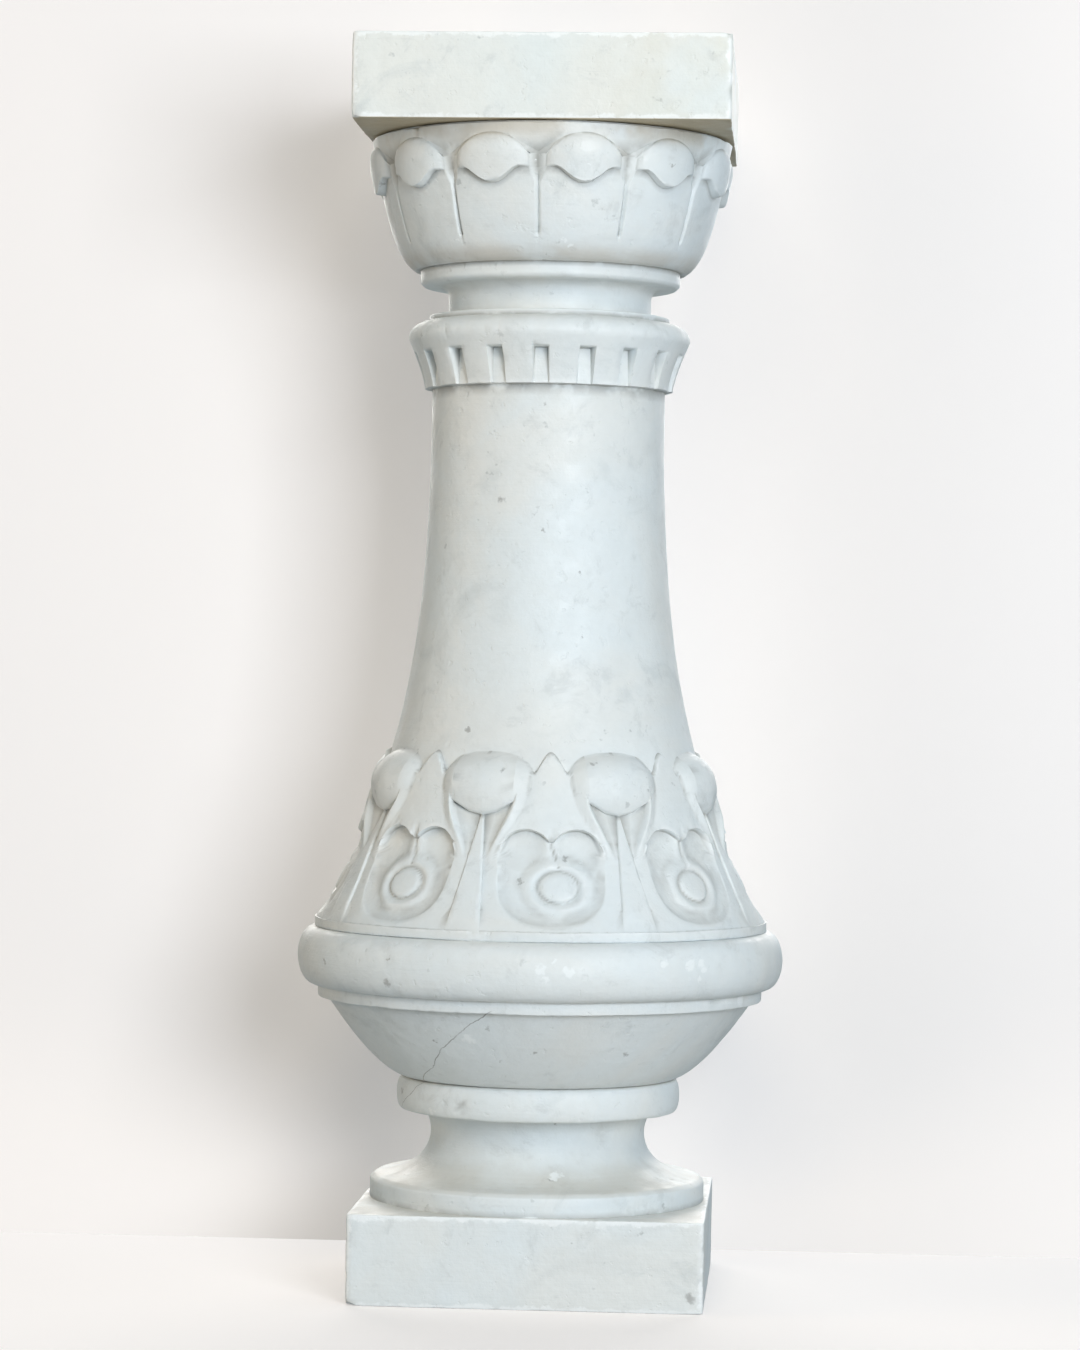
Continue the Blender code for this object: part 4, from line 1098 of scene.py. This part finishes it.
def baluster_stains(g, color):
    """Brown damp under the abacus, dust with painted shade on upward faces, a darker band at the bell's foot,
    the crack, scars and flecks.
    """
    height = g.axes["Z"]
    near_top = g.rescale(height, BELL_TOP - 0.014, BELL_TOP - 0.001)
    damp = g.times(near_top, g.patches((24.0, 4.0), 0.44, 0.62))
    color = g.tint(color, damp, 0.50, (0.46, 0.38, 0.26))
    # A darker warm band on the bell's lowest centimetre, just above the annulet.
    bell_foot_band = g.times(g.rescale(height, BELL_FOOT + 0.011, BELL_FOOT + 0.003),
                       g.rescale(height, BELL_FOOT - 0.0005, BELL_FOOT + 0.0005))
    bell_foot_band = g.times(bell_foot_band, g.patches((35.0, 4.0), 0.30, 0.60, 0.25, 1.0))
    color = g.tint(color, bell_foot_band, 0.45, (0.50, 0.44, 0.35))
    # Upward faces, most of all low down, darkened beige: dust together with painted shade where tops catch
    # less light.
    facing = g.node("ShaderNodeNewGeometry").outputs["Normal"]
    level = g.node("ShaderNodeSeparateXYZ", {0: facing}).outputs["Z"]
    dust_and_top_shade = g.patches((30.0, 5.0), 0.25, 0.60, 0.35, 1.0)
    dust_and_top_shade = g.times(g.rescale(level, 0.45, 0.95), dust_and_top_shade)
    dust_and_top_shade = g.times(dust_and_top_shade, g.rescale(height, BULB_FOOT, DISC_TOP + 0.004, 0.3, 1.0))
    color = g.tint(color, dust_and_top_shade, 0.50, (0.56, 0.53, 0.46))
    block = g.times(worn_arrises(g, PLINTH_SIDE / 2.0, 0.0, PLINTH_TOP),
                   g.rescale(height, PLINTH_TOP + 0.0010, PLINTH_TOP + 0.0003))
    color = g.tint(color, block, 0.65, (0.91, 0.94, 0.95))
    color = g.tint(color, spots(g, PALE_SCARS, 0.45), 0.65, (0.86, 0.90, 0.91))
    color = g.tint(color, spots(g, DARK_FLECKS, 0.75), 0.60, (0.25, 0.25, 0.24))
    return g.tint(color, crack_line(g, CRACK, CRACK_WIDTH), 0.62, (0.10, 0.09, 0.08))


def abacus_stains(g, color):
    """A yellow tint on the slab's right and a brown underside."""
    right = g.rescale(g.axes["X"], 0.0, 0.09)
    yellow = g.times(right, g.patches((22.0, 5.0), 0.38, 0.62))
    color = g.tint(color, yellow, 0.38, (0.70, 0.67, 0.55))
    low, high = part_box("abacus")
    color = g.tint(color, worn_arrises(g, high.x, low.z, high.z), 0.72, (0.93, 0.955, 0.95))
    under = g.rescale(g.axes["Z"], low.z + 0.0008, low.z + 0.0001)
    return g.mix(under, color, (0.50, 0.43, 0.30))


# Studio

STAGE_WIDTH = 8.0
WALL_FRONT = 0.152
WALL_TONE = (0.874, 0.840, 0.828)
FLOOR_TONE = (0.795, 0.768, 0.757)
FLOOR_GLOW = 0.325

# The wall's glow: an axis, where the glow starts and is full, and its strength
WALL_GLOWS = (("X", 0.35, -0.35, 0.15), ("X", 0.17, 0.34, 0.09), ("Z", 0.17, 0.02, 0.058))

# A frontal key from the right, warm light from above and below, and lights behind:
# name, azimuth and elevation in degrees, width in metres, watts and colour
LIGHT_DISTANCE = 2.6
LIGHT_AIM = 0.36
LIGHTS = (
    ("key", 24.0, 10.0, 1.0, 44.0, (0.90, 0.945, 1.0)),
    ("high", 0.0, 38.0, 1.0, 14.0, (1.0, 0.86, 0.66)),
    ("side_left", -80.0, 15.0, 1.0, 12.0, (1.0, 0.73, 0.45)),
    ("side_right", 85.0, 10.0, 1.0, 2.0, (0.95, 1.0, 0.98)),
    ("bounce_left", -60.0, -35.0, 1.0, 9.0, (1.0, 0.76, 0.48)),
    ("bounce_right", 60.0, -35.0, 1.0, 9.0, (1.0, 0.78, 0.52)),
    ("back_left", -165.0, 20.0, 1.5, 30.0, (1.0, 0.95, 0.90)),
    ("back_right", 168.0, 20.0, 1.5, 30.0, (1.0, 0.97, 0.95)),
)
SKY_TONE = (0.65, 0.85, 1.0, 1.0)
SKY_STRENGTH = 0.26


def stage_material(name, tone, glow, one_sided):
    """A pale paper that also glows a little, clear from behind if it is one-sided."""
    g = Graph(name)
    for key in ("Base Color", "Emission Color"):
        g.shader.inputs[key].default_value = (*tone, 1.0)
    for key, value in (("Roughness", 1.0), ("Specular IOR Level", 0.0), ("Emission Strength", glow)):
        g.shader.inputs[key].default_value = value
    if one_sided:
        for axis, start, end, more in WALL_GLOWS:
            glow = g.math("ADD", glow, g.rescale(g.axes[axis], start, end, 0.0, more))
        g.feed("Emission Strength", glow)
        clear = g.node("ShaderNodeBsdfTransparent").outputs[0]
        behind = g.node("ShaderNodeNewGeometry").outputs["Backfacing"]
        choice = g.node("ShaderNodeMixShader", {0: behind, 1: g.shader.outputs[0], 2: clear})
        g.tree.links.new(choice.outputs[0], g.tree.nodes["Material Output"].inputs["Surface"])
    return g.material


def make_sheet(name, corners, material):
    """A stage sheet that the camera alone sees, so it neither shades nor lights the stone."""
    mesh = bpy.data.meshes.new(name)
    mesh.from_pydata(corners, [], [(0, 1, 2, 3)])
    mesh.materials.append(material)
    sheet = bpy.data.objects.new(name, mesh)
    sheet.visible_shadow = False
    sheet.visible_diffuse = False
    sheet.visible_glossy = False
    sheet.visible_transmission = False
    bpy.context.scene.collection.objects.link(sheet)


def make_stage():
    """A wide floor, and a backdrop close behind that shows only from the front."""
    w = STAGE_WIDTH
    floor = [(-w, -w, 0.0), (w, -w, 0.0), (w, w, 0.0), (-w, w, 0.0)]
    back = [(-w, WALL_FRONT, 0.0), (w, WALL_FRONT, 0.0), (w, WALL_FRONT, w), (-w, WALL_FRONT, w)]
    make_sheet("floor", floor, stage_material("floor_paper", FLOOR_TONE, FLOOR_GLOW, False))
    make_sheet("backdrop", back, stage_material("backdrop_paper", WALL_TONE, 0.0, True))


def add_area(name, azimuth, elevation, size, watts, color):
    """A square soft light that faces the middle of the column."""
    data = bpy.data.lights.new(name, "AREA")
    data.size = size
    data.energy = watts
    data.color = color
    lamp = bpy.data.objects.new(name, data)
    turn = math.radians(azimuth)
    lift = math.radians(elevation)
    back = Vector((math.sin(turn) * math.cos(lift), -math.cos(turn) * math.cos(lift), math.sin(lift)))
    lamp.location = Vector((0.0, 0.0, LIGHT_AIM)) + back * LIGHT_DISTANCE
    lamp.rotation_euler = (-back).to_track_quat("-Z", "Y").to_euler()
    bpy.context.scene.collection.objects.link(lamp)


def make_lights():
    """The soft lights and an even sky."""
    for light in LIGHTS:
        add_area(*light)
    world = bpy.data.worlds.new("studio")
    world.use_nodes = True
    world.node_tree.nodes["Background"].inputs["Color"].default_value = SKY_TONE
    world.node_tree.nodes["Background"].inputs["Strength"].default_value = SKY_STRENGTH
    bpy.context.scene.world = world


def make_camera():
    """The photograph's camera, with its small turn, tilt and roll."""
    turn = math.radians(CAMERA_AZIMUTH)
    location = Vector((CAMERA_DISTANCE * math.sin(turn), -CAMERA_DISTANCE * math.cos(turn), CAMERA_HEIGHT))
    heading = turn + math.radians(CAMERA_YAW)
    pitch = math.radians(CAMERA_PITCH)
    roll_angle = math.radians(CAMERA_ROLL)
    level = math.cos(pitch)
    forward = Vector((-math.sin(heading) * level, math.cos(heading) * level, math.sin(pitch)))
    right = forward.cross(Vector((0.0, 0.0, 1.0))).normalized()
    up = right.cross(forward)
    camera_right = right * math.cos(roll_angle) + up * math.sin(roll_angle)
    camera_up = up * math.cos(roll_angle) - right * math.sin(roll_angle)
    data = bpy.data.cameras.new("camera")
    data.lens = CAMERA_LENS
    data.sensor_width = CAMERA_SENSOR
    camera = bpy.data.objects.new("camera", data)
    rotation = Matrix((camera_right, camera_up, -forward)).transposed()
    camera.matrix_world = Matrix.Translation(location) @ rotation.to_4x4()
    bpy.context.scene.collection.objects.link(camera)
    bpy.context.scene.camera = camera


make_camera()
make_lights()
make_stage()
make_baluster(marble("white_marble_stone", *WHITE_STONE, baluster_stains))
make_abacus(marble("cream_marble_stone", *CREAM_STONE, abacus_stains))
bpy.context.scene.view_settings.view_transform = "Standard"
